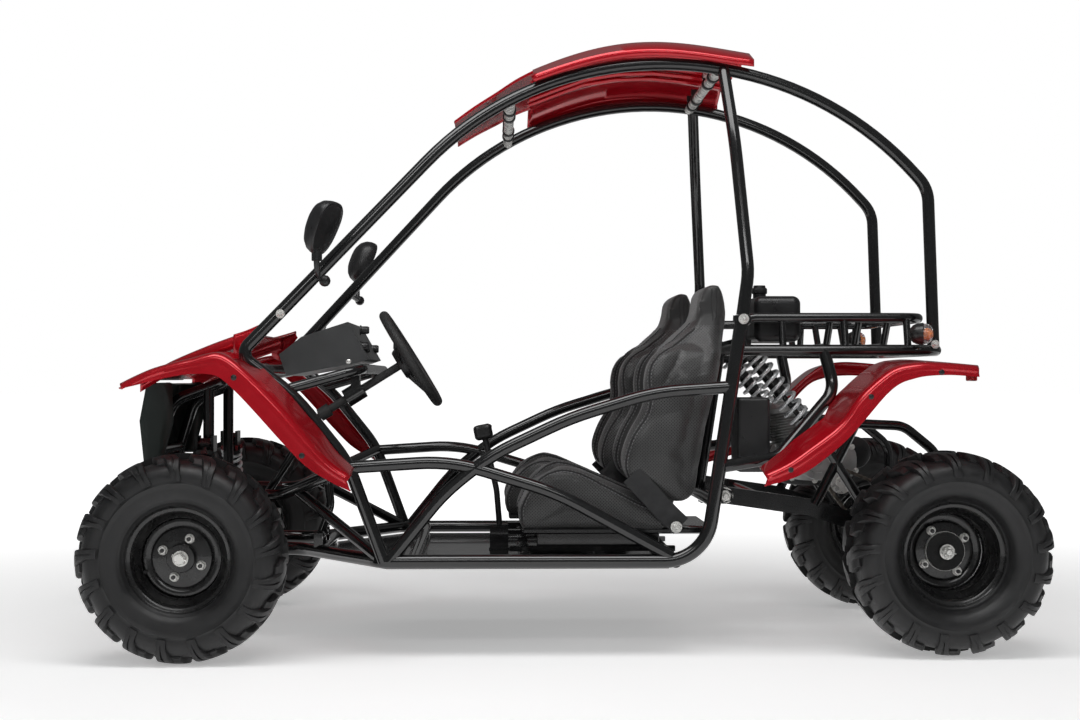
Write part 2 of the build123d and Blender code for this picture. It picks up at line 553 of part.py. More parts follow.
def swing_arm():
    x_pivot, z_pivot = SWING_PIVOT
    arm, hoops = None, []
    for side in (1, -1):
        path = Polyline((x_pivot - 8, side * SWING_Y, z_pivot - 1), (-550, side * SWING_Y, 305),
                        (-AXLE_X + 20, side * SWING_Y, TYRE_R + 6))
        beam = sweep(Plane(origin=path @ 0, x_dir=(0, 1, 0), z_dir=path % 0) * Rectangle(SWING_WIDE, 38),
                     path=path, transition=Transition.RIGHT)
        low, high = side * (SWING_Y - 16), side * (SWING_Y + 16)
        beam = beam + rod((x_pivot, low, z_pivot), (x_pivot, high, z_pivot), 20)
        low, high = side * (SWING_Y - 20), side * (SWING_Y + 20)
        beam = beam + rod((-AXLE_X, low, TYRE_R), (-AXLE_X, high, TYRE_R), 34)
        y = side * 252
        beam = beam + bar([(-559, y, 312), (-652, y, 494)], 22) + bar([(-566, y, 470), (-690, y, 276)], 22)
        hoop = bar([(-653, y, 494), (-760, y, 489), (-838, y, 425), (-840, y, 236)], 22, (60, 60))
        hoops += solids_of(hoop - beam)
        low, high = side * 182, side * 252
        shock_x, shock_z = REAR_SHOCK[1].X, REAR_SHOCK[1].Z
        beam = beam + rod((shock_x, low, shock_z), (shock_x, high, shock_z), 5)
        beam = beam - rod((x_pivot, side * 200, z_pivot), (x_pivot, side * 270, z_pivot),
                          KINGPIN_R + BUSH_GAP)
        beam = beam - rod((-AXLE_X, side * 200, TYRE_R), (-AXLE_X, side * 270, TYRE_R), AXLE_R)
        arm = beam if arm is None else arm + beam
    for x, z in ((-440, 321), (-640, 276)):
        arm = arm + rod((x, -SWING_Y, z), (x, SWING_Y, z), 15)
    caliper = block((-740, -116, 250), (-716, -84, 300)) - block((-760, -103.5, 240), (-700, -96.5, 310))
    caliper = caliper + rod((-728, -116, 262), (-692, -116, 262), 6)
    put("swing_arm", arm + caliper, hoops)


# ---------------------------------------------------------------- shocks
def shock(stem, top, bottom, spring_r, wire_r, turns):
    """Coil-over: upper body with the outer tube, lower rod with the eye, and the coil between."""
    along = (bottom - top).normalized()
    length = (bottom - top).length
    eye_axis = Vector(1, 0, 0) if abs(along.X) < 0.1 else Vector(0, 1, 0)
    seat_top, seat_low = 34.0, length - 38.0
    body = rod(top, top + along * 40, 9) + rod(top + along * 24, top + along * seat_top, spring_r + 2)
    body = body + rod(top + along * 30, top + along * (length * 0.56), 15)
    body = body + rod(top - eye_axis * 11, top + eye_axis * 11, 14)
    body = body - rod(top - eye_axis * 20, top + eye_axis * 20, PIN_R + BUSH_GAP)
    body = body - rod(top + along * (length * 0.3), top + along * (length * 0.6), 6.2)
    both(f"{stem}_shock_body", body)
    piston = rod(top + along * (length * 0.42), bottom - along * 8, 6)
    piston = piston + rod(top + along * seat_low, top + along * (seat_low + 10), spring_r + 2)
    piston = piston + rod(top + along * (seat_low + 6), bottom, 9)
    piston = piston + rod(bottom - eye_axis * 11, bottom + eye_axis * 11, 15)
    piston = piston - rod(bottom - eye_axis * 20, bottom + eye_axis * 20, 9.5)
    both(f"{stem}_shock_rod", piston)
    height = seat_low - seat_top - 2 * wire_r - 1.0
    helix_plane = Plane(origin=top + along * (seat_top + wire_r + 0.5), z_dir=along)
    helix = Helix(pitch=height / turns, height=height, radius=spring_r - wire_r)
    start = Plane(origin=helix @ 0, z_dir=helix % 0) * Circle(wire_r)
    coil = sweep(start, path=helix, is_frenet=True)
    both(f"{stem}_spring", helix_plane * coil)


# ---------------------------------------------------------------- controls
def pedal(node, y, pad_wide):
    arm = tube((560, y - 14, 238), (560, y + 14, 238), 11, PIN_R + BUSH_GAP)
    arm = arm + bar([(560, y, 247), (540, y, 300), (548, y, 380)], 12, (60,))
    pad = Box(8, pad_wide, 66)
    arm = arm + Pos(541, y, 386) * Rot(0, -8, 0) * fillet(pad.edges().filter_by(Axis.X), 8)
    arm = arm - rod((560, y - 20, 238), (560, y + 20, 238), PIN_R + BUSH_GAP)
    put(node, arm)


def hand_lever():
    stick = bar([(150, 0, 234), (158, 0, 330), (186, 0, 456)], 14, (150,))
    boss = tube((150, -8, 228), (150, 8, 228), 14, PIN_R + BUSH_GAP)
    knob = Pos(190, 0, 468) * Rot(0, 12, 0) * Box(44, 30, 36)
    knob = fillet(knob.edges(), 10)
    lever = (stick + boss + knob) - rod((150, -20, 228), (150, 20, 228), PIN_R + BUSH_GAP)
    put("hand_lever", lever)


def mirror_arm():
    """Mirror on a ball, its head leaning back towards the driver."""
    ball_at = (521, 486, 802)
    stem = bar([ball_at, (533, 541, 803), (531.5, 549, 868)], 9, (18,))
    head = Pos(523, 550, 912) * Rot(0, -17, 0) * Box(34, 84, 128)
    head = fillet(head.edges(), 15)
    arm = Pos(*ball_at) * Sphere(12) + stem + head
    for cutter in placed:
        if boxes_meet(arm, cutter):
            arm = arm - cutter
    both("mirror", arm)


def seat(node, y, shift):
    half = SEAT_WIDE / 2
    base_side = [(-215, 258), (112, 258), (122, 300), (84, 372), (28, 408), (-30, 392), (-178, 330),
                 (-232, 322)]
    back_side = [(-236, 326), (-180, 334), (-150, 420), (-166, 571), (-242, 700), (-300, 806), (-334, 818),
                 (-353, 763), (-320, 610), (-262, 326)]
    base = fillet(side_plate(base_side, y - half, y + half).edges().filter_by(Axis.Y), 9)
    back = fillet(side_plate(back_side, y - half, y + half).edges().filter_by(Axis.Y), 6)
    runners = [block((-200, y + way * 115 - 9, 227.3), (70, y + way * 115 + 9, 257.8)) for way in (1, -1)]
    whole = [Pos(shift, 0, 0) * piece for piece in (base, back, runners[0], runners[1])]
    put(node, *whole)


def main():
    floor_frame()
    side_bars()
    front_frame()
    roll_cage()
    rear_frame()
    floor_pan()
    front_fenders()
    rear_fenders()
    hood_panel()
    nose_cover()
    roof_panel()
    dash_panel()
    fuel_tank()
    battery_box()
    rear_lamps()
    steering()
    front_corner()
    front_wheels()
    rear_drive()
    drive()
    swing_arm()
    shock("front", FRONT_SHOCK[0], FRONT_SHOCK[1], 25, 4.1, 9)
    shock("rear", REAR_SHOCK[0], REAR_SHOCK[1], 28, 4.3, 8)
    pedal("brake_pedal", 178, 60)
    pedal("throttle_pedal", 94, 46)
    hand_lever()
    mirror_arm()
    seat("seat_left", SEAT_Y, 0)
    seat("seat_right", -SEAT_Y, FAR_SEAT_SHIFT)


main()
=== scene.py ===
"""Looks of the two-seat off-road kart: materials, wheels, seats, panels, springs, engine, hardware."""

import json
import math

import bmesh
import bpy
import numpy as np
from mathutils import Matrix, Vector
from mathutils.bvhtree import BVHTree


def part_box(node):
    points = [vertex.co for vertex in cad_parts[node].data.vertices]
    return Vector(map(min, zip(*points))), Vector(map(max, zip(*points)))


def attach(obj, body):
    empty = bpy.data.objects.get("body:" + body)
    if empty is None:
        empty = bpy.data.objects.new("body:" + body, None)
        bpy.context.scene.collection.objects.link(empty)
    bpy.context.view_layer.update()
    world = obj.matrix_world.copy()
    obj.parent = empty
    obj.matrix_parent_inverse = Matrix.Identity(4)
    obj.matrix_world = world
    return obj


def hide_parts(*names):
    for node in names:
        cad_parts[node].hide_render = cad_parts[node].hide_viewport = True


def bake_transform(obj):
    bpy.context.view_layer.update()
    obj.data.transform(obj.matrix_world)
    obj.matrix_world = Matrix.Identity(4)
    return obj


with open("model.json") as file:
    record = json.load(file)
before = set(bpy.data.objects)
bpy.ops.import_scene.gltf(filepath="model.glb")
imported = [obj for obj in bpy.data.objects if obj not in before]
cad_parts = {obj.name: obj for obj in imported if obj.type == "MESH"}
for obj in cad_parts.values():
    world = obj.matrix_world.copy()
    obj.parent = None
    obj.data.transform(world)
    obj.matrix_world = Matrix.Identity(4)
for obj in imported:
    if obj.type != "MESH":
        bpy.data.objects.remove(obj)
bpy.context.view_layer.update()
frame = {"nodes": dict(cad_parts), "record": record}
NODES = frame["nodes"]
SIDES = (("left", 1), ("right", -1))


# ---------------------------------------------------------------- camera, light and floor
def set_stage():
    """Camera level with the side bars, looking at the driver's left side, on a pale studio floor."""
    scene = bpy.context.scene
    camera = bpy.data.objects.new("camera", bpy.data.cameras.new("camera"))
    scene.collection.objects.link(camera)
    camera.location = (0.162, 4.25, 0.599)
    yaw, pitch = math.radians(1.45), math.radians(0.55)
    look = Vector((-math.sin(yaw) * math.cos(pitch), -math.cos(yaw) * math.cos(pitch), math.sin(pitch)))
    camera.rotation_mode = "QUATERNION"
    camera.rotation_quaternion = look.to_track_quat("-Z", "Y")
    camera.data.lens, camera.data.sensor_width = 59.33, 36.0
    scene.camera = camera

    world = bpy.data.worlds.new("studio")
    world.use_nodes = True
    world.node_tree.nodes["Background"].inputs["Color"].default_value = (1.0, 1.0, 1.0, 1)
    # a white surround for the camera, and a dim one for everything it lights
    rays = world.node_tree.nodes.new("ShaderNodeLightPath")
    world.node_tree.links.new(spread(world.node_tree, rays.outputs["Is Camera Ray"], 0.13, 1.0, 0.0, 1.0),
                              world.node_tree.nodes["Background"].inputs["Strength"])
    scene.world = world
    scene.view_settings.view_transform = "Standard"

    lights = (("key_softbox", (0.3, 1.4, 3.4), (0, 0, 0.5), 3.2, 1.4, 62),
              ("front_softbox", (3.8, 2.6, 1.8), (0.3, 0, 0.5), 2.0, 2.2, 20),
              ("rear_softbox", (-3.6, 2.8, 2.0), (-0.3, 0, 0.5), 2.0, 2.2, 20),
              ("camera_side_strip", (0.2, 4.6, 2.9), (0, 0, 0.5), 3.4, 0.5, 30),
              ("far_side_strip", (0.2, -4.6, 2.9), (0, 0, 0.5), 3.4, 0.5, 24))
    for name, place, target, wide, high, power in lights:
        light = bpy.data.lights.new(name, "AREA")
        light.shape, light.size, light.size_y, light.energy = "RECTANGLE", wide, high, power
        lamp = bpy.data.objects.new(name, light)
        lamp.location = place
        lamp.rotation_mode = "QUATERNION"
        lamp.rotation_quaternion = (Vector(target) - Vector(place)).to_track_quat("-Z", "Y")
        lamp.visible_glossy = name in ("key_softbox", "camera_side_strip")
        scene.collection.objects.link(lamp)

    # a flat round floor that glows whiter away from the kart
    pale, tree, shader = new_material("pale_floor", (0.9, 0.9, 0.9), 0.85)
    shader.inputs["Emission Color"].default_value = (1, 1, 1, 1)
    where, away = tree.nodes.new("ShaderNodeTexCoord"), tree.nodes.new("ShaderNodeVectorMath")
    away.operation = "LENGTH"
    tree.links.new(where.outputs["Object"], away.inputs[0])
    tree.links.new(spread(tree, away.outputs["Value"], 0.34, 1.0, 1.4, 4.0),
                   shader.inputs["Emission Strength"])
    for name, inner, outer in (("studio_floor", 0.0, 3.0), ("studio_surround", 3.0, 60.0)):
        verts = [(r * math.cos(t), r * math.sin(t), 0) for r in (inner, outer) for t in turns(72)]
        faces = [(i, (i + 1) % 72, 72 + (i + 1) % 72, 72 + i)[::-1] for i in range(72)]
        if inner == 0:
            verts, faces = verts[72:], [tuple(range(72))]
        piece = mesh_object(name, verts, faces)
        piece.data.materials.append(pale)
    piece.visible_glossy = False        # the surround lights the kart without showing in its gloss


# ---------------------------------------------------------------- mesh helpers
def mesh_object(name, verts, faces, smooth=True):
    mesh = bpy.data.meshes.new(name)
    mesh.from_pydata([tuple(v) for v in verts], [], [tuple(f) for f in faces])
    mesh.validate()
    made = bmesh.new()
    made.from_mesh(mesh)
    bmesh.ops.recalc_face_normals(made, faces=made.faces)
    made.to_mesh(mesh)
    made.free()
    obj = bpy.data.objects.new(name, mesh)
    bpy.context.scene.collection.objects.link(obj)
    if smooth:
        mesh.shade_smooth()
        mesh.set_sharp_from_angle(angle=math.radians(38))
    return obj


class Shape:
    """Vertices and faces gathered from several simple forms."""

    def __init__(self):
        self.verts, self.faces = [], []

    def skin(self, rings, closed=True, loop=False, caps=False):
        """Quads between rings of equal length; loop joins the last ring to the first."""
        start, count = len(self.verts), len(rings[0])
        for ring in rings:
            self.verts += [Vector(p) for p in ring]
        spans = len(rings) if loop else len(rings) - 1
        for i in range(spans):
            a, b = start + i * count, start + ((i + 1) % len(rings)) * count
            for j in range(count if closed else count - 1):
                k = (j + 1) % count
                self.faces.append((a + j, a + k, b + k, b + j))
        if caps:
            self.faces.append(tuple(range(start, start + count)))
            last = start + (len(rings) - 1) * count
            self.faces.append(tuple(reversed(range(last, last + count))))

    def tube(self, points, radius, sides=12, loop=False):
        """Round tube along points; radius is one number or one for each point."""
        points = [Vector(p) for p in points]
        radii = [radius] * len(points) if isinstance(radius, (int, float)) else list(radius)
        rings, normal = [], None
        for i, point in enumerate(points):
            before = points[i - 1] if i or loop else point
            after = points[(i + 1) % len(points)] if i < len(points) - 1 or loop else point
            along = (after - before).normalized()
            if normal is None:
                normal = along.orthogonal()
            normal = (normal - along * normal.dot(along)).normalized()
            side = along.cross(normal)
            rings.append([point + (normal * math.cos(t) + side * math.sin(t)) * radii[i]
                          for t in turns(sides)])
        self.skin(rings, loop=loop, caps=not loop)

    def lathe(self, profile, centre, axis, segments=48, loop=False):
        """Turn (radius, height) pairs about an axis through the centre."""
        axis = Vector(axis).normalized()
        across = axis.orthogonal().normalized()
        other = axis.cross(across)
        rings = [[Vector(centre) + axis * h + (across * math.cos(t) + other * math.sin(t)) * max(r, 1e-5)
                  for t in turns(segments)] for r, h in profile]
        self.skin(rings, loop=loop, caps=not loop)

    def box(self, low, high, turn=None, chamfer=0.0015):
        """Box with its edges cut off, optionally turned about its own centre."""
        low, high = Vector(low), Vector(high)
        centre, half = (low + high) / 2, (high - low) / 2
        cut = min(chamfer, *(h * 0.45 for h in half))
        rings = []
        for z, inset in ((-half.z, cut), (-half.z + cut, 0), (half.z - cut, 0), (half.z, cut)):
            x, y = half.x - inset, half.y - inset
            outline = [(x, -y + cut), (x, y - cut), (x - cut, y), (-x + cut, y), (-x, y - cut),
                       (-x, -y + cut),
                       (-x + cut, -y), (x - cut, -y)]
            ring = [Vector((px, py, z)) for px, py in outline]
            rings.append([centre + ((turn @ p) if turn else p) for p in ring])
        self.skin(rings, caps=True)

    def bolt(self, centre, axis, radius=0.006, height=0.005, washer=True):
        """Hexagon head on a washer, with its chamfered crown and thread end."""
        if washer:
            self.lathe([(radius * 1.45, 0), (radius * 1.5, 0.0004), (radius * 1.45, 0.0014), (0, 0.0014)],
                       centre,
                       axis, 24)
        self.lathe([(radius * 1.1, 0.001), (radius * 1.13, height * 0.8), (radius * 0.95, height),
                    (0, height)],
                   centre, axis, 6)
        self.lathe([(radius * 0.55, height * 0.9), (radius * 0.55, height * 1.5),
                    (radius * 0.4, height * 1.7),
                    (0, height * 1.7)], centre, axis, 14)

    def object(self, name, smooth=True):
        return mesh_object(name, self.verts, self.faces, smooth)


def turns(count):
    return [math.tau * i / count for i in range(count)]


def smooth_line(points, count):
    """Evenly spaced points on a smooth curve through the given ones."""
    points = np.array([tuple(p) for p in points], float)
    padded = np.vstack([2 * points[0] - points[1], points, 2 * points[-1] - points[-2]])
    fine = []
    for i in range(1, len(padded) - 2):
        p0, p1, p2, p3 = padded[i - 1:i + 3]
        for t in np.linspace(0, 1, 24, endpoint=False):
            fine.append(0.5 * (2 * p1 + (p2 - p0) * t + (2 * p0 - 5 * p1 + 4 * p2 - p3) * t ** 2
                               + (3 * p1 - p0 - 3 * p2 + p3) * t ** 3))
    fine.append(points[-1])
    fine = np.array(fine)
    steps = np.concatenate([[0], np.cumsum(np.linalg.norm(np.diff(fine, axis=0), axis=1))])
    at = np.linspace(0, steps[-1], count)
    return [Vector([np.interp(s, steps, fine[:, k]) for k in range(fine.shape[1])]) for s in at]


def mirrored(verts, side):
    return [Vector((v.x, v.y * side, v.z)) for v in verts]


def place(obj, body, look, slot, replaced=()):
    """Give a finished piece its material and body, and hide the CAD nodes it stands for; the slot is not
    used.
    """
    obj.data.materials.clear()
    for one in look if isinstance(look, (list, tuple)) else [look]:
        obj.data.materials.append(one)
    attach(obj, body)
    if replaced:
        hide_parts(*replaced)
    return obj


# ---------------------------------------------------------------- materials
def new_material(name, colour, rough, metallic=0.0, coat=0.0, specular=0.5):
    made = bpy.data.materials.new(name)
    made.use_nodes = True
    shader = made.node_tree.nodes["Principled BSDF"]
    shader.inputs["Base Color"].default_value = (*colour, 1)
    shader.inputs["Roughness"].default_value = rough
    shader.inputs["Metallic"].default_value = metallic
    shader.inputs["Coat Weight"].default_value = coat
    shader.inputs["Coat Roughness"].default_value = 0.04
    shader.inputs["Specular IOR Level"].default_value = specular
    return made, made.node_tree, shader


def texture(tree, kind, scale, detail=4.0, **sockets):
    """A 3-D texture in the piece's own coordinates."""
    where = tree.nodes.get("where") or tree.nodes.new("ShaderNodeTexCoord")
    where.name = "where"
    node = tree.nodes.new(kind)
    node.inputs["Scale"].default_value = scale
    if "Detail" in node.inputs:
        node.inputs["Detail"].default_value = detail
    for key, value in sockets.items():
        node.inputs[key].default_value = value
    tree.links.new(where.outputs["Object"], node.inputs["Vector"])
    return node


def spread(tree, source, low, high, from_low=0.3, from_high=0.7):
    """Map a texture value to a range."""
    node = tree.nodes.new("ShaderNodeMapRange")
    for key, value in (("From Min", from_low), ("From Max", from_high), ("To Min", low), ("To Max", high)):
        node.inputs[key].default_value = value
    tree.links.new(source, node.inputs["Value"])
    return node.outputs["Result"]


def blend_colours(tree, factor, first, second):
    node = tree.nodes.new("ShaderNodeMix")
    node.data_type = "RGBA"
    node.inputs["A"].default_value = (*first, 1)
    node.inputs["B"].default_value = (*second, 1)
    tree.links.new(factor, node.inputs["Factor"])
    return node.outputs["Result"]


def bump(tree, shader, height, distance, strength=0.6, before=None):
    node = tree.nodes.new("ShaderNodeBump")
    node.inputs["Distance"].default_value = distance
    node.inputs["Strength"].default_value = strength
    tree.links.new(height, node.inputs["Height"])
    if before:
        tree.links.new(before, node.inputs["Normal"])
    tree.links.new(node.outputs["Normal"], shader.inputs["Normal"])
    return node.outputs["Normal"]


def surface(name, light, dark, rough, metallic=0.0, coat=0.0, specular=0.5, patch=9.0, grain=900.0,
            depth=0.0003, rough_swing=0.08):
    """Mottled colour, uneven roughness and a fine grain: the base of most materials here."""
    made, tree, shader = new_material(name, light, rough, metallic, coat, specular)
    mottle = texture(tree, "ShaderNodeTexNoise", patch, 5.0)
    tree.links.new(blend_colours(tree, spread(tree, mottle.outputs["Fac"], 0, 1), dark, light),
                   shader.inputs["Base Color"])
    smudge = texture(tree, "ShaderNodeTexNoise", patch * 4, 6.0)
    tree.links.new(spread(tree, smudge.outputs["Fac"], max(rough - rough_swing, 0.02), rough + rough_swing),
                   shader.inputs["Roughness"])
    fine = texture(tree, "ShaderNodeTexNoise", grain, 3.0)
    bump(tree, shader, fine.outputs["Fac"], depth)
    return made


def leather(name, perforated):
    """Black leather with a pebbled grain, punched with a diagonal grid of holes where perforated; there the
    base is painted lighter as a sheen for the highlights between the holes, and the holes are painted
    near-black as the shade inside them.
    """
    made, tree, shader = new_material(name, (0.03, 0.03, 0.031), 0.44, coat=0.1, specular=0.5)
    shader.inputs["Sheen Weight"].default_value = 0.25
    mottle = texture(tree, "ShaderNodeTexNoise", 14, 4.0)
    # perforated panels get a lighter base: painted sheen for the highlights between the holes
    dark, light = ((0.032,) * 3, (0.064,) * 3) if perforated else ((0.011,) * 3, (0.024,) * 3)
    base = blend_colours(tree, spread(tree, mottle.outputs["Fac"], 0, 1), dark, light)
    pebble = texture(tree, "ShaderNodeTexVoronoi", 620)
    normal = bump(tree, shader, pebble.outputs["Distance"], 0.0004, 0.55)
    if perforated:
        hole = hole_grid(tree, 0.0070, 0.50)
        mix = tree.nodes.new("ShaderNodeMix")
        mix.data_type = "RGBA"
        # the holes are painted near-black: painted shade inside them
        mix.inputs["B"].default_value = (0.0015, 0.0015, 0.0015, 1)
        tree.links.new(base, mix.inputs["A"])
        tree.links.new(hole, mix.inputs["Factor"])
        base = mix.outputs["Result"]
        flat = tree.nodes.new("ShaderNodeMath")
        flat.operation = "SUBTRACT"
        flat.inputs[0].default_value = 1.0
        tree.links.new(hole, flat.inputs[1])
        bump(tree, shader, flat.outputs["Value"], 0.0014, 0.9, normal)
    tree.links.new(base, shader.inputs["Base Color"])
    return made


def hole_grid(tree, pitch, size):
    """1 in the holes of a diagonal grid laid on whichever plane the surface faces most, else 0."""
    where = tree.nodes.get("where")
    facing = tree.nodes.new("ShaderNodeNewGeometry")
    split, normal = tree.nodes.new("ShaderNodeSeparateXYZ"), tree.nodes.new("ShaderNodeSeparateXYZ")
    tree.links.new(where.outputs["Object"], split.inputs["Vector"])
    tree.links.new(facing.outputs["Normal"], normal.inputs["Vector"])

    def math_node(operation, first, second=None):
        node = tree.nodes.new("ShaderNodeMath")
        node.operation = operation
        for i, value in enumerate((first, second)):
            if value is None:
                continue
            if isinstance(value, (int, float)):
                node.inputs[i].default_value = value
            else:
                tree.links.new(value, node.inputs[i])
        return node.outputs["Value"]

    def holes(a, b):
        step = math.pi / pitch
        first = math_node("SINE", math_node("MULTIPLY", math_node("ADD", a, b), step))
        second = math_node("SINE", math_node("MULTIPLY", math_node("SUBTRACT", a, b), step))
        return math_node("GREATER_THAN", math_node("ABSOLUTE", math_node("MULTIPLY", first, second)),
                         1 - size)

    across = [math_node("ABSOLUTE", normal.outputs[k]) for k in range(3)]
    side_on = math_node("GREATER_THAN", across[1], 0.62)
    top_on = math_node("GREATER_THAN", across[2], across[0])
    side = holes(split.outputs["X"], split.outputs["Z"])
    top = holes(split.outputs["X"], split.outputs["Y"])
    front = holes(split.outputs["Y"], split.outputs["Z"])
    upright = math_node("ADD", math_node("MULTIPLY", top, top_on),
                        math_node("MULTIPLY", front, math_node("SUBTRACT", 1.0, top_on)))
    return math_node("ADD", math_node("MULTIPLY", side, side_on),
                     math_node("MULTIPLY", upright, math_node("SUBTRACT", 1.0, side_on)))


def glass(name, colour, rough=0.03):
    made, tree, shader = new_material(name, colour, rough)
    shader.inputs["Transmission Weight"].default_value = 0.92
    shader.inputs["IOR"].default_value = 1.49
    ripple = texture(tree, "ShaderNodeTexNoise", 220)
    bump(tree, shader, ripple.outputs["Fac"], 0.0002, 0.3)
    return made


MATERIALS = {
    "frame_black": surface("black_powder_coat", (0.0070, 0.0074, 0.0078), (0.004, 0.0042, 0.0045), 0.18,
                           coat=0.6,
                           patch=6, grain=420, depth=0.00002, rough_swing=0.03),
    "red_plastic": surface("candy_red", (0.52, 0.004, 0.014), (0.40, 0.002, 0.009), 0.22, metallic=0.45,
                           coat=0.5, patch=5, grain=2600, depth=0.00003, rough_swing=0.04),
    "black_plastic": surface("moulded_black", (0.015, 0.015, 0.016), (0.009, 0.009, 0.0095), 0.34, patch=12,
                             grain=1500, depth=0.00025),
    "grey_plastic": surface("moulded_grey", (0.055, 0.057, 0.058), (0.038, 0.039, 0.040), 0.42, patch=12,
                            grain=1300, depth=0.0003),
    "lamp_black": surface("lamp_black", (0.02, 0.02, 0.02), (0.013, 0.013, 0.013), 0.25, patch=12),
    "soft_grip": surface("grip_rubber", (0.022, 0.022, 0.022), (0.014, 0.014, 0.014), 0.6, patch=20,
                         grain=1900, depth=0.0004),
    "zinc_steel": surface("zinc_plate", (0.84, 0.83, 0.80), (0.76, 0.76, 0.73), 0.30, metallic=0.6, patch=14,
                          grain=1200, depth=0.00015, rough_swing=0.12),
    "tyre_rubber": surface("tyre_rubber", (0.0115, 0.0115, 0.012), (0.0065, 0.0065, 0.007), 0.43, patch=16,
                           grain=1000, depth=0.0006, specular=0.5),
    "rim_black": surface("rim_black", (0.009, 0.009, 0.0095), (0.005, 0.005, 0.005), 0.28, coat=0.4, patch=10,
                         grain=500, depth=0.00015),
    "engine_alloy": surface("cast_alloy", (0.56, 0.56, 0.55), (0.33, 0.33, 0.33), 0.45, metallic=0.9,
                            patch=30,
                            grain=700, depth=0.0008, rough_swing=0.12),
    "shock_black": surface("shock_black", (0.017, 0.017, 0.018), (0.011, 0.011, 0.011), 0.26, coat=0.4),
    "spring_silver": surface("spring_silver", (0.78, 0.79, 0.80), (0.66, 0.67, 0.68), 0.3, metallic=0.55,
                             coat=0.4, patch=30, grain=900, depth=0.0002),
    "seat_leather": leather("smooth_leather", False),
}
PERFORATED = leather("perforated_leather_painted_sheen", True)
PIPING = surface("grey_thread", (0.26, 0.26, 0.27), (0.15, 0.15, 0.15), 0.7, patch=160, grain=1500,
                 depth=0.0008)
WEBBING = surface("black_webbing", (0.03, 0.03, 0.031), (0.017, 0.017, 0.018), 0.75, patch=30, grain=1300,
                  depth=0.001)
DARK_STEEL = surface("dark_steel", (0.10, 0.10, 0.10), (0.05, 0.05, 0.05), 0.45, metallic=0.9, patch=30)
CHAIN_STEEL = surface("chain_steel", (0.30, 0.28, 0.24), (0.12, 0.11, 0.10), 0.38, metallic=1.0, patch=90)
CAST_BLACK = surface("cast_black", (0.014, 0.014, 0.014), (0.006, 0.006, 0.006), 0.75, patch=60, grain=420,
                     depth=0.003)
MIRROR_GLASS = surface("mirror_silver", (0.85, 0.86, 0.88), (0.80, 0.81, 0.83), 0.03, metallic=1.0, patch=3,
                       depth=0.00001, rough_swing=0.01)
CLEAR_LENS = glass("clear_lens", (0.97, 0.97, 0.97))
RED_LENS = glass("red_lens", (0.7, 0.02, 0.02))
NOSE_GREEN = surface("nose_green_black", (0.010, 0.017, 0.014), (0.007, 0.011, 0.010), 0.38, coat=0.1,
                     patch=6,
                     grain=900, depth=0.00008, rough_swing=0.04)
AMBER = surface("amber_bulb", (0.85, 0.22, 0.01), (0.7, 0.15, 0.01), 0.2, patch=60)


def dress_cad_nodes():
    """Every CAD node gets its slot's finished material, and smooth shading across its facets."""
    for part in frame["record"]["subparts"]:
        node = NODES[part["node"]]
        node.data.materials.clear()
        node.data.materials.append(MATERIALS[part["material_slot"]])
        node.data.shade_smooth()
        node.data.set_sharp_from_angle(angle=math.radians(35))


# ---------------------------------------------------------------- wheels
AXLE_X, AXLE_Z = 0.818, 0.220
LUGS = 17


def carcass(half, rim_half):
    """(radius, offset) points of one side of the tyre, from the middle of the tread to the bead."""
    outer = [(0.2065, 0), (0.2058, half * 0.3), (0.2035, half * 0.56), (0.1985, half * 0.76),
             (0.1905, half * 0.9),
             (0.180, half * 0.975), (0.167, half - 0.0012), (0.152, half - 0.0035), (0.138, half * 0.93),
             (0.126, (half + rim_half) / 2 + 0.002), (0.117, rim_half + 0.004), (0.1125, rim_half - 0.001),
             (0.108, rim_half - 0.006)]
    path = [(p[0], p[1]) for p in smooth_line(outer, 60)]
    ridges = ((0.1585, 0.0022, 0.0022), (0.1545, 0.0016, 0.0010), (0.1195, 0.0018, 0.0016))
    return [(r, h + sum(rise * math.exp(-((r - at) / wide) ** 2) for at, wide, rise in ridges)) for r,
            h in path]


def outward(path, i):
    (r0, h0), (r1, h1) = path[max(i - 1, 0)], path[min(i + 1, len(path) - 1)]
    step = math.hypot(r1 - r0, h1 - h0)
    return (h1 - h0) / step, -(r1 - r0) / step


def lug(shape, path, side, centre, theta, first, last, skew, limit, slotted):
    """One tread block that follows the carcass from the crown over the shoulder and down the side."""
    rings = []
    stations = [first + (last - first) * k / 11 for k in range(12)]
    for k, f in enumerate(stations):
        i = int(f * (len(path) - 1))
        r, h = path[i]
        nr, nh = outward(path, i)
        t = k / 11
        width = 0.0105 + 0.0055 * math.sin(math.pi * min(t * 1.25, 1)) - 0.001 * t
        rise = 0.0128 if t < 0.6 else 0.0128 - (t - 0.6) / 0.4 * 0.0085
        groove = 0.0042 if slotted and 0.5 < t < 0.86 else 0.0
        turn = theta + skew * (1 - t) ** 1.4
        ring = []
        for across, lift in ((-1.12, -0.0025), (-1.0, rise * 0.75), (-0.86, rise), (-0.17, rise),
                             (-0.11, rise - groove), (0.11, rise - groove), (0.17, rise), (0.86, rise),
                             (1.0, rise * 0.75), (1.12, -0.0025)):
            radius = min(r + nr * lift, 0.2197)
            offset = min(h + nh * lift, limit)
            angle = turn + across * width / r
            ring.append((centre[0] + radius * math.cos(angle), centre[1] + side * offset,
                         AXLE_Z + radius * math.sin(angle)))
        rings.append(ring if side > 0 else list(reversed(ring)))
    shape.skin(rings, caps=True)


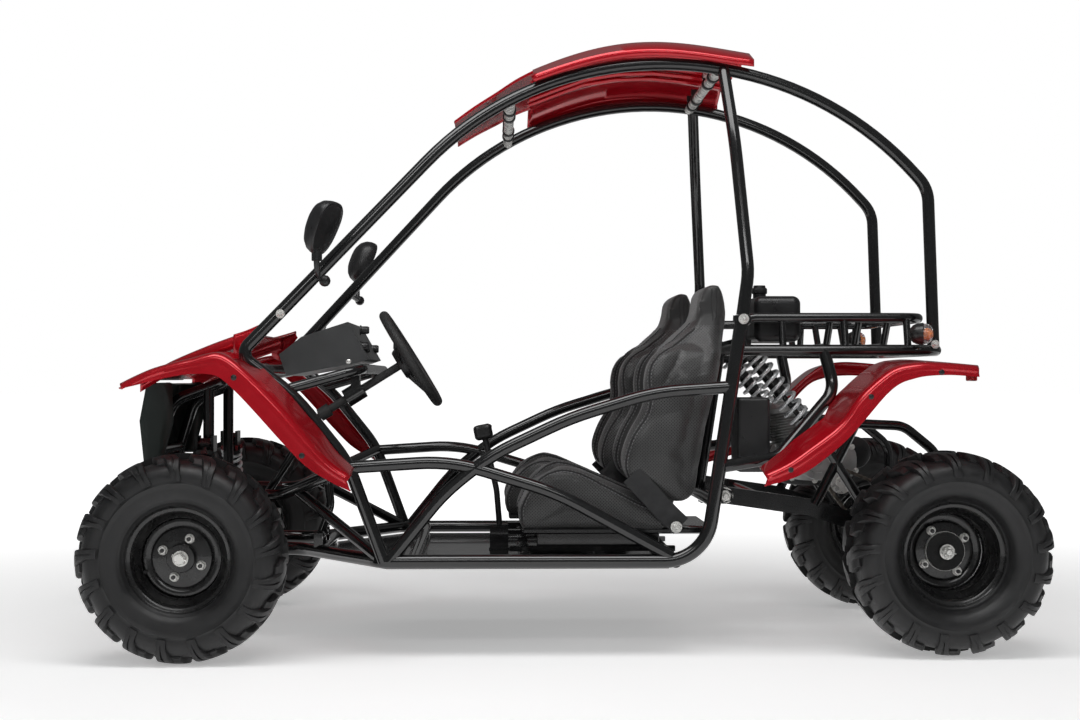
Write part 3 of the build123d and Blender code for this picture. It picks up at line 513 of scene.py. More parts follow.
def tyre(shape, centre, wide, rim_wide):
    half, rim_half = wide / 2, rim_wide / 2
    path = carcass(half - 0.0035, rim_half)
    inner = [(0.104, rim_half - 0.012), (0.118, rim_half - 0.010), (0.150, half - 0.018),
             (0.178, half - 0.022),
             (0.194, half * 0.55), (0.196, 0)]
    loop = path + inner
    closed = loop + [(r, -h) for r, h in reversed(loop[1:-1])]
    shape.lathe(closed, (centre[0], centre[1], AXLE_Z), (0, 1, 0), 120, loop=True)
    for side in (1, -1):
        for k in range(LUGS):
            theta = math.tau * (k + (0.25 if side > 0 else 0.75)) / LUGS
            skew = -0.16 * (1 if k % 2 else 1.12)
            lug(shape, path, side, centre, theta, 0.03, 0.62, skew, half - 0.0006, True)
            lug(shape, path, side, centre, theta + math.pi / LUGS + 0.02, 0.1, 0.36, skew * 0.4,
                half - 0.0006, False)


def rim(shape, centre, wide, disc_y, side):
    """Pressed steel wheel: rolled lips, bead seats, stepped well, dished disc."""
    half, disc = wide / 2, abs(disc_y) - abs(centre[1])
    barrel = [(0.1100, half - 0.0022), (0.1118, half - 0.0002), (0.1136, half - 0.0012),
              (0.1138, half - 0.0034),
              (0.1122, half - 0.0046), (0.1085, half - 0.0050), (0.1035, half - 0.0075),
              (0.1018, half - 0.012),
              (0.1015, half - 0.022), (0.0985, half - 0.027), (0.0900, half - 0.036), (0.0870, half - 0.042)]
    back = [(r, -h) for r, h in reversed(barrel)]
    skin_out = barrel + back
    skin_in = [(r - 0.0026, h) for r, h in reversed(skin_out)]
    shape.lathe([(r, h * side) for r, h in skin_out + skin_in], (centre[0], centre[1], AXLE_Z), (0, 1, 0), 96,
                loop=True)
    dish = [(0.0862, disc - 0.010), (0.0850, disc - 0.004), (0.0815, disc + 0.0008), (0.0770, disc + 0.0020),
            (0.0700, disc + 0.0006), (0.0655, disc - 0.0022), (0.0630, disc - 0.0005),
            (0.0615, disc + 0.0024),
            (0.0590, disc + 0.0030), (0.0300, disc + 0.0030)]
    under = [(r, h - 0.0030) for r, h in reversed(dish)]
    shape.lathe([(r, h * side) for r, h in dish + under], (centre[0], centre[1], AXLE_Z), (0, 1, 0), 96,
                loop=True)
    shape.tube([(centre[0] + 0.078, side * (abs(centre[1]) + disc + 0.001), AXLE_Z - 0.030),
                (centre[0] + 0.074, side * (abs(centre[1]) + disc + 0.020), AXLE_Z - 0.028)], 0.0038, 10)


def wheel_nuts(bright, studs, x, y, side, circle, turn):
    for k in range(4):
        angle = turn + math.tau * k / 4
        at = Vector((x + circle * math.cos(angle), side * y, AXLE_Z + circle * math.sin(angle)))
        bright.lathe([(0.0105, 0), (0.0105, 0.0012), (0.0098, 0.0030)], at, (0, side, 0), 18)
        bright.lathe([(0.0092, 0.0025), (0.0094, 0.0095), (0.0080, 0.0115), (0.0050, 0.0115)], at,
                     (0, side, 0), 6)
        studs.lathe([(0.0044, 0.010), (0.0044, 0.0175), (0.0034, 0.0185), (0, 0.0185)], at, (0, side, 0), 12)


def castle_nut(shape, x, y, side):
    """Slotted nut with its washer, thread end and split pin."""
    at = Vector((x, side * y, AXLE_Z))
    shape.lathe([(0.0165, 0), (0.0165, 0.0022)], at, (0, side, 0), 28)
    shape.lathe([(0.0138, 0.002), (0.0140, 0.0105), (0.0128, 0.0120)], at, (0, side, 0), 6)
    for k in range(6):
        angle = math.tau * (k + 0.5) / 6
        low = at + Vector((math.cos(angle) * 0.0098 - 0.0022, side * 0.011,
                           math.sin(angle) * 0.0098 - 0.0022))
        shape.box(low, low + Vector((0.0044, side * 0.0065, 0.0044)), chamfer=0.0006)
    shape.lathe([(0.0070, 0.010), (0.0070, 0.020), (0.0058, 0.0215), (0, 0.0215)], at, (0, side, 0), 20)
    shape.tube([at + Vector((-0.016, side * 0.0145, -0.003)), at + Vector((0.012, side * 0.0145, 0.001)),
                at + Vector((0.0155, side * 0.013, 0.006)), at + Vector((0.014, side * 0.010, 0.010))],
               0.0011, 8)


def wheels():
    for name, side in SIDES:
        body = f"front_wheel_{name}"
        rubber, metal, bright, studs = Shape(), Shape(), Shape(), Shape()
        tyre(rubber, (AXLE_X, side * 0.485), 0.170, 0.116)
        place(rubber.object(f"front_tyre_tread_{name}"), body, MATERIALS["tyre_rubber"], "tyre_rubber",
              [f"front_tyre_{name}"])
        rim(metal, (AXLE_X, side * 0.485), 0.116, side * 0.492, side)
        hub = [(0.0600, -0.040), (0.0600, -0.0031), (0.0300, -0.0031), (0.0300, 0.020), (0.0285, 0.0225),
               (0.0150, 0.0225)]
        metal.lathe(hub, (AXLE_X, side * 0.492, AXLE_Z), (0, side, 0), 64)
        place(metal.object(f"front_rim_steel_{name}"), body, MATERIALS["rim_black"], "rim_black",
              [f"front_rim_{name}"])
        wheel_nuts(bright, studs, AXLE_X, 0.495, side, 0.043, 0.38)
        castle_nut(bright, AXLE_X, 0.5143, side)
        place(bright.object(f"front_nuts_{name}"), body, MATERIALS["zinc_steel"], "zinc_steel")
        place(studs.object(f"front_studs_{name}"), body, DARK_STEEL, "zinc_steel")

    rubber, metal, bright, studs, caps = Shape(), Shape(), Shape(), Shape(), Shape()
    for _, side in SIDES:
        tyre(rubber, (-AXLE_X, side * 0.405), 0.220, 0.136)
        rim(metal, (-AXLE_X, side * 0.405), 0.136, side * 0.380, side)
        wheel_nuts(bright, studs, -AXLE_X, 0.383, side, 0.0525, 1.0)
        castle_nut(bright, -AXLE_X, 0.4115, side)
        caps.lathe([(0.0425, -0.004), (0.0425, 0.012), (0.0405, 0.0162), (0.0330, 0.0170), (0.0220, 0.0170),
                    (0.0180, 0.0185), (0.0160, 0.0300)], (-AXLE_X, side * 0.3835, AXLE_Z), (0, side, 0), 72)
    place(rubber.object("rear_tyre_treads"), "rear_axle", MATERIALS["tyre_rubber"], "tyre_rubber",
          ["rear_tyres"])
    place(metal.object("rear_rim_steel"), "rear_axle", MATERIALS["rim_black"], "rim_black", ["rear_rims"])
    place(caps.object("rear_hub_castings"), "rear_axle", CAST_BLACK, "rim_black")
    place(bright.object("rear_nuts"), "rear_axle", MATERIALS["zinc_steel"], "zinc_steel")
    place(studs.object("rear_studs"), "rear_axle", DARK_STEEL, "zinc_steel")


# ---------------------------------------------------------------- springs and shocks
COIL_POINTS = 28        # points on each turn of a spring
CLOSED_TURNS = 0.75     # part of a turn that lies flat at each end
TOP_SEAT, BOTTOM_SEAT, SEAT_GAP = 0.034, 0.038, 0.0004     # eye to spring seat, and the gap left there


def coil(name, top, bottom, radius, wire, turns_count, node):
    """Spring wire with closed end turns, stretched between the two halves of its shock."""
    top, bottom = Vector(top), Vector(bottom)
    along = (bottom - top).normalized()
    length = (bottom - top).length
    first, last = TOP_SEAT + wire + SEAT_GAP, length - BOTTOM_SEAT - wire - SEAT_GAP
    across = along.orthogonal().normalized()
    other = along.cross(across)
    total = turns_count + 1.5
    points = []
    for k in range(int(total * COIL_POINTS) + 1):
        t = k / COIL_POINTS
        dead = CLOSED_TURNS
        if t < dead:
            rise = t * wire * 2.0
        elif t > total - dead:
            rise = (last - first) - (total - t) * wire * 2.0
        else:
            rise = dead * wire * 2 + (t - dead) / (total - 2 * dead) * (last - first - 2 * dead * wire * 2)
        centre = top + along * (first + rise)
        radial = across * math.cos(math.tau * t) + other * math.sin(math.tau * t)
        points.append(centre + radial * (radius - wire))
    shape = Shape()
    shape.tube(points, wire, 10)
    obj = shape.object(name)
    obj.data.materials.append(MATERIALS["spring_silver"])
    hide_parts(node)
    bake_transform(obj)
    return obj


def shocks():
    for name, side in SIDES:
        coil(f"front_coil_{name}", (0.818, side * 0.195, 0.447), (0.818, side * 0.300, 0.205), 0.025, 0.0041,
             9.0,
             f"front_spring_{name}")
        coil(f"rear_coil_{name}", (-0.4045, side * 0.200, 0.672), (-0.566, side * 0.200, 0.467), 0.028,
             0.0043,
             8.0, f"rear_spring_{name}")


# ---------------------------------------------------------------- red panels
def sheet_panel(name, grid, thickness=0.0028):
    """Curved plastic sheet through a grid of points, with its real thickness."""
    shape = Shape()
    shape.skin(grid, closed=False)
    obj = shape.object(name)
    solid = obj.modifiers.new("thickness", "SOLIDIFY")
    solid.thickness, solid.offset = thickness, -1
    return obj


def fender(crown, under, inner, outer, count, rise):
    """Wing over the wheel: top rising inwards, rounded outer edge, side lip with a rolled foot."""
    top = smooth_line([(x, 0, z) for x, z in crown], count)
    foot = smooth_line([(x, 0, z) for x, z in under], count)
    rows = []
    for k, (a, b) in enumerate(zip(top, foot)):
        t = k / (count - 1)
        y_in = np.interp(t, [p[0] for p in inner], [p[1] for p in inner])
        along = (top[min(k + 1, count - 1)] - top[max(k - 1, 0)]).normalized()
        down = Vector((along.z, 0, -along.x))
        if down.z > 0:
            down = -down
        up = Vector((0, 0, np.interp(t, [p[0] for p in rise], [p[1] for p in rise])))
        row = [Vector((a.x, y_in, a.z)) + up + down * 0.004, Vector((a.x, y_in + 0.004,
                                                                     a.z)) + up + down * 0.0004]
        row += [Vector((a.x, y_in + (outer - 0.014 - y_in) * s, a.z)) + up * (1 - s) ** 0.8
                for s in (0.12, 0.25, 0.5, 0.75, 0.9, 1)]
        edge = Vector((a.x, outer, a.z)) + down * 0.012
        row += [Vector((a.x, outer - 0.007, a.z)) + down * 0.0022,
                Vector((a.x, outer - 0.002, a.z)) + down * 0.0065]
        low_point = Vector((b.x, outer, b.z))
        for s in (0.0, 0.3, 0.6, 0.9):
            at = edge.lerp(low_point, s)
            row.append(at - Vector((0, 0.0016 * math.sin(math.pi * s), 0)))
        row.append(low_point)
        row.append(low_point + Vector((0, -0.006, 0)) - down * 0.0008)
        rows.append(row)
    return rows


def fenders():
    front_crown = [(0.935, 0.585), (0.905, 0.600), (0.868, 0.616), (0.82, 0.630), (0.79, 0.637),
                   (0.754, 0.647),
                   (0.731, 0.6485), (0.703, 0.634), (0.66, 0.596), (0.597, 0.531), (0.55, 0.475),
                   (0.503, 0.424),
                   (0.46, 0.394)]
    front_under = [(0.935, 0.576), (0.905, 0.582), (0.868, 0.592), (0.82, 0.602), (0.79, 0.606),
                   (0.754, 0.606),
                   (0.731, 0.600), (0.703, 0.577), (0.66, 0.532), (0.597, 0.462), (0.55, 0.415),
                   (0.503, 0.385),
                   (0.46, 0.364)]
    rear_crown = [(-0.405, 0.395), (-0.455, 0.419), (-0.5, 0.45), (-0.565, 0.5), (-0.61, 0.56),
                  (-0.66, 0.605),
                  (-0.69, 0.622), (-0.72, 0.628), (-0.75, 0.63), (-0.80, 0.628), (-0.86, 0.623)]
    rear_under = [(-0.405, 0.370), (-0.455, 0.384), (-0.5, 0.405), (-0.565, 0.455), (-0.61, 0.502),
                  (-0.66, 0.56),
                  (-0.69, 0.585), (-0.72, 0.596), (-0.75, 0.602), (-0.80, 0.604), (-0.86, 0.600)]
    for stem, crown, under, inner, rise, outer in (
            ("front", front_crown, front_under, ((0, 0.342), (0.46, 0.342), (0.54, 0.474), (1, 0.474)),
             ((0, 0), (0.1, 0.004), (0.4, 0.004), (0.54, 0.030), (0.85, 0.034), (1, 0.012)), 0.5695),
            ("rear", rear_crown, rear_under, ((0, 0.446), (0.30, 0.446), (0.40, 0.320), (1, 0.320)),
             ((0, 0.010), (0.15, 0.030), (0.35, 0.030), (0.5, 0.012), (1, 0.004)), 0.5195)):
        rows = fender(crown, under, inner, outer, 72, rise)
        both = Shape()
        for side in (1, -1):
            both.skin([mirrored(row, side) for row in (rows if side > 0 else rows[::-1])], closed=False)
        obj = both.object(f"{stem}_wings")
        solid = obj.modifiers.new("thickness", "SOLIDIFY")
        solid.thickness, solid.offset = 0.0026, 0
        place(obj, "root", MATERIALS["red_plastic"], "red_plastic", [f"{stem}_fenders"])


def roof():
    """Glossy roof skin with chamfered sides and a dropped front, and its ribbed underside."""
    stations = [(-0.412, 0.327, 0.250, 1.287, 1.332), (-0.33, 0.330, 0.25, 1.298, 1.346),
                (-0.228, 0.334, 0.250, 1.308, 1.356), (-0.14, 0.342, 0.255, 1.305, 1.353),
                (-0.060, 0.354, 0.262, 1.291, 1.340), (0.0, 0.366, 0.27, 1.27, 1.318),
                (0.078, 0.380, 0.280, 1.242, 1.288)]
    rows = []
    xs = [s[0] for s in stations]
    curves = [np.poly1d(np.polyfit(xs, [s[i] for s in stations], 4)) for i in (1, 2, 3, 4)]
    for k in range(44):
        x = xs[0] + (xs[-1] - xs[0]) * k / 43
        wide, flat, foot, crown = (float(curve(x)) for curve in curves)
        crown -= 0.0005
        half = [(wide, foot), (wide, foot + 0.012), (wide - 0.003, foot + 0.0165),
                (flat + 0.012, crown - 0.006),
                (flat, crown - 0.0015), (flat - 0.02, crown - 0.001), (flat * 0.5, crown), (0, crown)]
        row = [Vector((x, y, z)) for y, z in half]
        rows.append(row + [Vector((p.x, -p.y, p.z)) for p in reversed(row[:-1])])
    skin = sheet_panel("roof_skin", rows, 0.003)
    tip = smooth_line([(0.070, 0, 1.289), (0.115, 0, 1.268), (0.160, 0, 1.241), (0.210, 0, 1.212),
                       (0.255, 0, 1.182)],
                      24)
    rows = []
    for k, p in enumerate(tip):
        half = float(np.interp(p.x, [0.07, 0.255], [0.278, 0.204]))
        row = [Vector((p.x, half * s, p.z - (0.006 if abs(s) == 1 else 0))) for s in
               (-1, -0.985, -0.94, -0.6, -0.2, 0.2, 0.6, 0.94, 0.985, 1)]
        rows.append(row)
    nose = sheet_panel("roof_front_skin", rows, 0.003)
    place(skin, "root", MATERIALS["red_plastic"], "red_plastic", ["roof_panel"])
    place(nose, "root", MATERIALS["red_plastic"], "red_plastic")
    ribs = Shape()
    for y in (-0.2, -0.12, -0.04, 0.04, 0.12, 0.2):
        for k in range(len(xs) - 1):
            a, b = stations[k], stations[k + 1]
            for (x0, z0), (x1, z1) in (((a[0], a[4]), (b[0], b[4])),):
                ribs.tube([(x0, y, z0 - 0.008), (x1, y, z1 - 0.008)], 0.005, 8)
    place(ribs.object("roof_ribs"), "root", MATERIALS["red_plastic"], "red_plastic")


def hood():
    """Sloping hood whose rear corners rise into ears, its side skirts, and the faceted nose shield."""
    line = smooth_line([(0.938, 0, 0.596), (0.90, 0, 0.619), (0.860, 0, 0.640), (0.789, 0, 0.670),
                        (0.735, 0, 0.690),
                        (0.705, 0, 0.700)], 30)
    rows = []
    for k, p in enumerate(line):
        lift = 0.004 * math.sin(math.pi * min(k / 29 + 0.08, 1))
        rows.append([Vector((p.x, 0.3345 * s, p.z - drop + lift * (abs(s) < 0.6))) for s, drop in (
            (-1, 0.030), (-1, 0.010), (-0.995, 0.004), (-0.98, 0.001), (-0.94, 0), (-0.62, 0), (-0.56, 0.003),
            (0, 0.003),
            (0.56, 0.003), (0.62, 0), (0.94, 0), (0.98, 0.001), (0.995, 0.004), (1, 0.010), (1, 0.030))])
    place(sheet_panel("hood_skin", rows, 0.003), "root", MATERIALS["red_plastic"], "red_plastic",
          ["hood_panel"])
    ears = Shape()
    ear_top = smooth_line([(0.735, 0, 0.690), (0.705, 0, 0.700), (0.672, 0, 0.7145)], 16)
    for _, side in SIDES:
        grid = []
        for k, p in enumerate(ear_top):
            t = k / 15
            inner = 0.318 - 0.112 * min(1.0, 1.35 * (1 - t))
            grid.append([Vector((p.x, side * (inner + (0.3345 - inner) * u),
                                 p.z + 0.0012 - (0.004 if u in (0, 1) else 0)))
                         for u in (0, 0.04, 0.3, 0.6, 0.96, 1)])
        ears.skin(grid if side > 0 else grid[::-1], closed=False)
        foot = smooth_line([(0.735, 0, 0.652), (0.712, 0, 0.640), (0.696, 0, 0.655), (0.686, 0, 0.676),
                            (0.668, 0, 0.700)], 16)
        skirt = [[Vector((a.x, side * 0.3345, a.z - 0.003)), Vector((a.x, side * 0.3347, a.z - 0.008)),
                  Vector((b.x, side * 0.3345, b.z))]
                 for a, b in zip(ear_top, foot)]
        ears.skin(skirt if side > 0 else skirt[::-1], closed=False)
    ear = ears.object("hood_ears")
    solid = ear.modifiers.new("thickness", "SOLIDIFY")
    solid.thickness, solid.offset = 0.0028, 0
    place(ear, "root", MATERIALS["red_plastic"], "red_plastic")

    # nose shield: folded face with cheeks running back on both sides
    fold = [(0.905, 0.584), (0.950, 0.584), (0.9655, 0.500), (0.956, 0.409), (0.930, 0.412)]
    rows = []
    for s, back in ((-1, 0.078), (-1, 0.052), (-1, 0.024), (-1, 0.006), (-0.99, 0.0015), (-0.97, 0),
                    (-0.5, 0), (0, 0), (0.5, 0),
                    (0.97, 0), (0.99, 0.0015), (1, 0.006), (1, 0.024), (1, 0.052), (1, 0.078)):
        row = []
        for k, (x, z) in enumerate(fold):
            reach = (0.35, 0.75, 1.0, 0.62, 0.35)[k]
            row.append(Vector((x - back * reach, 0.2095 * s, z + (0.0 if k != 3 else back * 0.18))))
        rows.append(row)
    place(sheet_panel("nose_shield", rows, 0.003), "root", NOSE_GREEN, "black_plastic", ["nose_cover"])


# ---------------------------------------------------------------- seats
BACK_OUTLINE = [(-0.255, 0.325), (-0.215, 0.325), (-0.165, 0.345), (-0.126, 0.375), (-0.118, 0.405),
                (-0.124, 0.438),
                (-0.139, 0.476), (-0.162, 0.515), (-0.173, 0.551), (-0.171, 0.589), (-0.180, 0.627),
                (-0.213, 0.665),
                (-0.251, 0.693), (-0.276, 0.712), (-0.291, 0.735), (-0.298, 0.762), (-0.301, 0.790),
                (-0.309, 0.808),
                (-0.326, 0.814), (-0.341, 0.808), (-0.346, 0.780), (-0.344, 0.735), (-0.328, 0.641),
                (-0.299, 0.514),
                (-0.276, 0.401), (-0.266, 0.345)]
BASE_OUTLINE = [(-0.205, 0.268), (-0.100, 0.266), (0.000, 0.266), (0.090, 0.268), (0.108, 0.284),
                (0.110, 0.312),
                (0.094, 0.350), (0.066, 0.382), (0.026, 0.398), (-0.020, 0.392), (-0.080, 0.366),
                (-0.150, 0.334),
                (-0.195, 0.318), (-0.222, 0.312), (-0.224, 0.290)]
STATIONS = (-1, -0.99, -0.965, -0.92, -0.85, -0.77, -0.70, -0.64, -0.58, -0.5, -0.34, -0.17, 0, 0.17, 0.34,
            0.5,
            0.58, 0.64, 0.70, 0.77, 0.85, 0.92, 0.965, 0.99, 1)
SEATS = (("left", 0.210, 0.0), ("right", -0.210, 0.027))


def closed_outline(points, count=72):
    ring = [Vector((x, 0, z)) for x, z in points]
    line = smooth_line(ring + ring[:3], count * 2)
    start = ring[1]
    first = min(range(len(line) // 2), key=lambda i: (line[i] - start).length)
    best = min(range(first + count // 2, len(line)), key=lambda i: (line[i] - line[first]).length)
    loop = line[first:best]
    steps = np.linspace(0, len(loop), count, endpoint=False).astype(int)
    return [loop[i] for i in steps]


def back_half(z):
    """Half width of the backrest at a height: full at the ribs, narrow at the headrest."""
    return float(np.interp(z, [0.33, 0.40, 0.60, 0.655, 0.70, 0.74, 0.815],
                           [0.176, 0.184, 0.184, 0.168, 0.128, 0.112, 0.104]))


def cushion(name, outline, y_centre, shift, kind):
    """Closed form of one seat cushion: bolsters down the sides, a lower insert between, rounded edges."""
    ring = closed_outline(outline)
    count = len(ring)
    centre = sum(ring, Vector()) / count
    shape, rings = Shape(), []
    for u in STATIONS:
        inset = {1: 0.020, 0.99: 0.012, 0.965: 0.0055, 0.92: 0.001}.get(abs(u), 0.0)
        insert = max(0.0, min(1.0, (0.70 - abs(u)) / 0.14))
        loop = []
        for i, p in enumerate(ring):
            along = (ring[(i + 1) % count] - ring[i - 1]).normalized()
            out = Vector((along.z, 0, -along.x))
            if out.dot(p - centre) < 0:
                out = -out
            head = max(0.0, min(1.0, (p.z - 0.69) / 0.05)) if kind == "back" else 0.0
            q = p - out * inset * (1 - 0.55 * head)
            if kind == "back":
                above_foot = max(0.0, min(1.0, (p.z - 0.34) / 0.05))
                facing = max(0.0, out.x) * max(0.0, min(1.0, (0.70 - p.z) / 0.05)) * above_foot
                q = q + Vector((-0.030 * insert * facing, 0, 0))
                y = u * back_half(p.z)
            else:
                facing = max(0.0, out.z) * max(0.0, min(1.0, (0.10 - p.x) / 0.07))
                q = q + Vector((0, 0, -0.028 * insert * facing))
                y = u * 0.180
            loop.append(Vector((q.x + shift, y_centre + y, q.z)))
        rings.append(loop)
    shape.skin(rings, caps=True)
    obj = shape.object(name)
    inflate(obj, 0.009)
    return obj


def inflate(obj, cap):
    """Voxel remesh, cloth under pressure, travel capped, then one subdivision."""
    scene = bpy.context.scene
    remesh = obj.modifiers.new("remesh", "REMESH")
    remesh.mode, remesh.voxel_size = "VOXEL", 0.006
    apply_modifiers(obj)
    rest = np.empty(len(obj.data.vertices) * 3)
    obj.data.vertices.foreach_get("co", rest)
    rest = rest.reshape(-1, 3)
    cloth = obj.modifiers.new("cloth", "CLOTH")
    cloth.settings.quality = 6
    cloth.settings.mass = 0.25
    cloth.settings.tension_stiffness = cloth.settings.compression_stiffness = 22
    cloth.settings.bending_stiffness = 1.2
    cloth.settings.use_pressure = True
    cloth.settings.uniform_pressure_force = 4.0
    cloth.settings.effector_weights.gravity = 0
    for frame_number in range(1, 21):
        scene.frame_set(frame_number)
    apply_modifiers(obj)
    scene.frame_set(1)
    moved = np.empty(len(obj.data.vertices) * 3)
    obj.data.vertices.foreach_get("co", moved)
    moved = moved.reshape(-1, 3)
    step = moved - rest
    far = np.linalg.norm(step, axis=1, keepdims=True)
    step *= np.minimum(1.0, cap / np.maximum(far, 1e-9))
    obj.data.vertices.foreach_set("co", (rest + step).reshape(-1))
    sub = obj.modifiers.new("subdivision", "SUBSURF")
    sub.levels = sub.render_levels = 1
    apply_modifiers(obj)
    obj.data.shade_smooth()


def apply_modifiers(obj):
    depsgraph = bpy.context.evaluated_depsgraph_get()
    made = bpy.data.meshes.new_from_object(obj.evaluated_get(depsgraph), depsgraph=depsgraph)
    obj.modifiers.clear()
    obj.data = made


def tree_of(obj):
    mesh = obj.data
    return BVHTree.FromPolygons([v.co.copy() for v in mesh.vertices],
                                [tuple(p.vertices) for p in mesh.polygons])


def seam(shape, tree, points, radius, lift):
    """Cord laid on a surface: each point moves to the surface and stands off a little."""
    laid = []
    for p in smooth_line(points, 90):
        at, normal, _, _ = tree.find_nearest(p)
        if at is not None:
            laid.append(at + normal * lift)
    shape.tube(laid, radius, 8)
    return laid


def stitches(shape, laid, tree, offset, side):
    """Thread stitches beside a seam, each a short rounded dash."""
    length, gap, run = 0.0052, 0.0030, 0.0
    steps = [0.0]
    for a, b in zip(laid, laid[1:]):
        steps.append(steps[-1] + (b - a).length)
    total = steps[-1]

    def along(s):
        s = min(max(s, 0), total - 1e-6)
        i = int(np.searchsorted(steps, s, side="right")) - 1
        t = (s - steps[i]) / max(steps[i + 1] - steps[i], 1e-9)
        return laid[i].lerp(laid[i + 1], t), (laid[i + 1] - laid[i]).normalized()

    while run + length < total:
        ends = []
        for s in (run, run + length / 2, run + length):
            p, direction = along(s)
            _, normal, _, _ = tree.find_nearest(p)
            across = direction.cross(normal).normalized()
            q, n, _, _ = tree.find_nearest(p + across * offset * side)
            ends.append(q + n * (0.0006 if s != run + length / 2 else 0.0011))
        shape.tube(ends, (0.0005, 0.0009, 0.0005), 6)
        run += length + gap


def seats():
    for name, y_centre, shift in SEATS:
        body = f"seat_{name}"
        back = cushion(f"seat_back_{name}", BACK_OUTLINE, y_centre, shift, "back")
        base = cushion(f"seat_base_{name}", BASE_OUTLINE, y_centre, shift, "base")
        piping, thread = Shape(), Shape()
        back_tree, base_tree = tree_of(back), tree_of(base)
        for way in (1, -1):
            for x in (-0.318, -0.330):
                line = [(x + shift, y_centre + way * 0.14, z) for z in (0.735, 0.76, 0.785, 0.803)]
                seam(piping, back_tree, line, 0.0013, 0.0)
        for way in (1, -1):
            front = BACK_OUTLINE[3:14]
            for u, inward, lift in ((0.975, 0.010, 0.0004), (0.66, 0.012, 0.0004)):
                line = []
                for x, z in front:
                    line.append((x - inward + 0.01 + shift, y_centre + way * u * back_half(z), z + 0.002))
                laid = seam(piping, back_tree, line, 0.0018, lift)
                stitches(thread, laid, back_tree, 0.0048, 1)
                stitches(thread, laid, back_tree, 0.0048, -1)
            top = BASE_OUTLINE[4:13]
            for u in (0.975, 0.66):
                line = [(x + shift, y_centre + way * u * 0.180, z + 0.004) for x, z in top]
                laid = seam(piping, base_tree, line, 0.0018, 0.0004)
                stitches(thread, laid, base_tree, 0.0048, 1)
                stitches(thread, laid, base_tree, 0.0048, -1)
        for obj in (back, base):
            obj.data.materials.clear()
            obj.data.materials.append(MATERIALS["seat_leather"])
            obj.data.materials.append(PERFORATED)
            for face in obj.data.polygons:
                c = face.center
                u = abs(c.y - y_centre) / (back_half(c.z) if obj is back else 0.180)
                punched = u > 0.64 and (obj is base or c.z < 0.715)
                face.material_index = 1 if punched else 0
            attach(obj, body)
        place(piping.object(f"seat_piping_{name}"), body, WEBBING, "seat_leather")
        place(thread.object(f"seat_stitching_{name}"), body, PIPING, "seat_leather")
        shell = Shape()
        low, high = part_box(f"seat_{name}")
        shell.box((low[0] + 0.036, y_centre - 0.172, 0.258), (high[0] - 0.02, y_centre + 0.172, 0.270),
                  chamfer=0.004)
        for way in (1, -1):
            y = y_centre + way * 0.115
            shell.box((-0.200 + shift, y - 0.009, 0.2273), (0.070 + shift, y + 0.009, 0.2577), chamfer=0.002)
        place(shell.object(f"seat_pan_{name}"), body, MATERIALS["frame_black"], "frame_black",
              [f"seat_{name}"])
        belts(name, body, y_centre, shift)


def belts(name, body, y_centre, shift):
    """Lap belt ends: webbing from the crease of the seat down to a zinc bolt."""
    web, bright = Shape(), Shape()
    for way in (1, -1):
        y = y_centre + way * 0.1885
        line = smooth_line([(-0.134 + shift, y - way * 0.004, 0.387), (-0.170 + shift, y, 0.349),
                            (-0.210 + shift, y, 0.306), (-0.241 + shift, y - way * 0.003, 0.276)], 26)
        rows = []
        for k, p in enumerate(line):
            along = (line[min(k + 1, 25)] - line[max(k - 1, 0)]).normalized()
            across = Vector((-along.z, 0, along.x)) * 0.0235
            wave = Vector((0, way * 0.0007 * math.sin(k * 1.3), 0))
            rows.append([p + across + wave, p + across * 0.4 + wave * 1.6, p - across * 0.4 + wave * 1.6,
                         p - across + wave,
                         p - across - Vector((0, way * 0.0028, 0)),
                         p + across - Vector((0, way * 0.0028, 0))])
        web.skin(rows, caps=True)
        bright.bolt((-0.231 + shift, y + way * 0.0005, 0.274), (0, way, 0), 0.0085, 0.007)
    place(web.object(f"lap_belt_{name}"), body, WEBBING, "seat_leather")
    place(bright.object(f"belt_bolts_{name}"), body, MATERIALS["zinc_steel"], "zinc_steel")


# ---------------------------------------------------------------- drive and engine
SPROCKET = ((-0.818, 0.220), 0.0888)
PINION = ((-0.648, 0.352), 0.0308)


def chain_path(count):
    """Points and directions evenly spaced along the pitch line round both sprockets."""
    (ax, az), ra = SPROCKET
    (bx, bz), rb = PINION
    base = math.atan2(bz - az, bx - ax)
    lean = math.acos((ra - rb) / math.hypot(bx - ax, bz - az))
    fine = []
    for t in np.linspace(base + lean, base + math.tau - lean, 200):
        fine.append((ax + ra * math.cos(t), az + ra * math.sin(t)))
    for t in np.linspace(base - lean, base + lean, 80):
        fine.append((bx + rb * math.cos(t), bz + rb * math.sin(t)))
    fine = np.array(fine + fine[:1])
    steps = np.concatenate([[0], np.cumsum(np.linalg.norm(np.diff(fine, axis=0), axis=1))])
    at = np.linspace(0, steps[-1], count, endpoint=False)
    return [Vector((np.interp(s, steps, fine[:, 0]), 0, np.interp(s, steps, fine[:, 1]))) for s in at]


def slab(shape, outline, y0, y1, bevel=0.003):
    """Plate of an (x, z) outline between two y values, with bevelled edges."""
    ring = [Vector((x, 0, z)) for x, z in outline]
    count = len(ring)
    centre = sum(ring, Vector()) / count

    def inset(amount, y):
        moved = []
        for i, p in enumerate(ring):
            along = (ring[(i + 1) % count] - ring[i - 1]).normalized()
            out = Vector((along.z, 0, -along.x))
            if out.dot(p - centre) < 0:
                out = -out
            moved.append(Vector((p.x - out.x * amount, y, p.z - out.z * amount)))
        return moved

    sign = 1 if y1 > y0 else -1
    shape.skin([inset(bevel, y0), inset(bevel * 0.3, y0 + sign * bevel * 0.3), inset(0, y0 + sign * bevel),
                inset(0, y1 - sign * bevel), inset(bevel * 0.3, y1 - sign * bevel * 0.3), inset(bevel, y1)],
               caps=True)


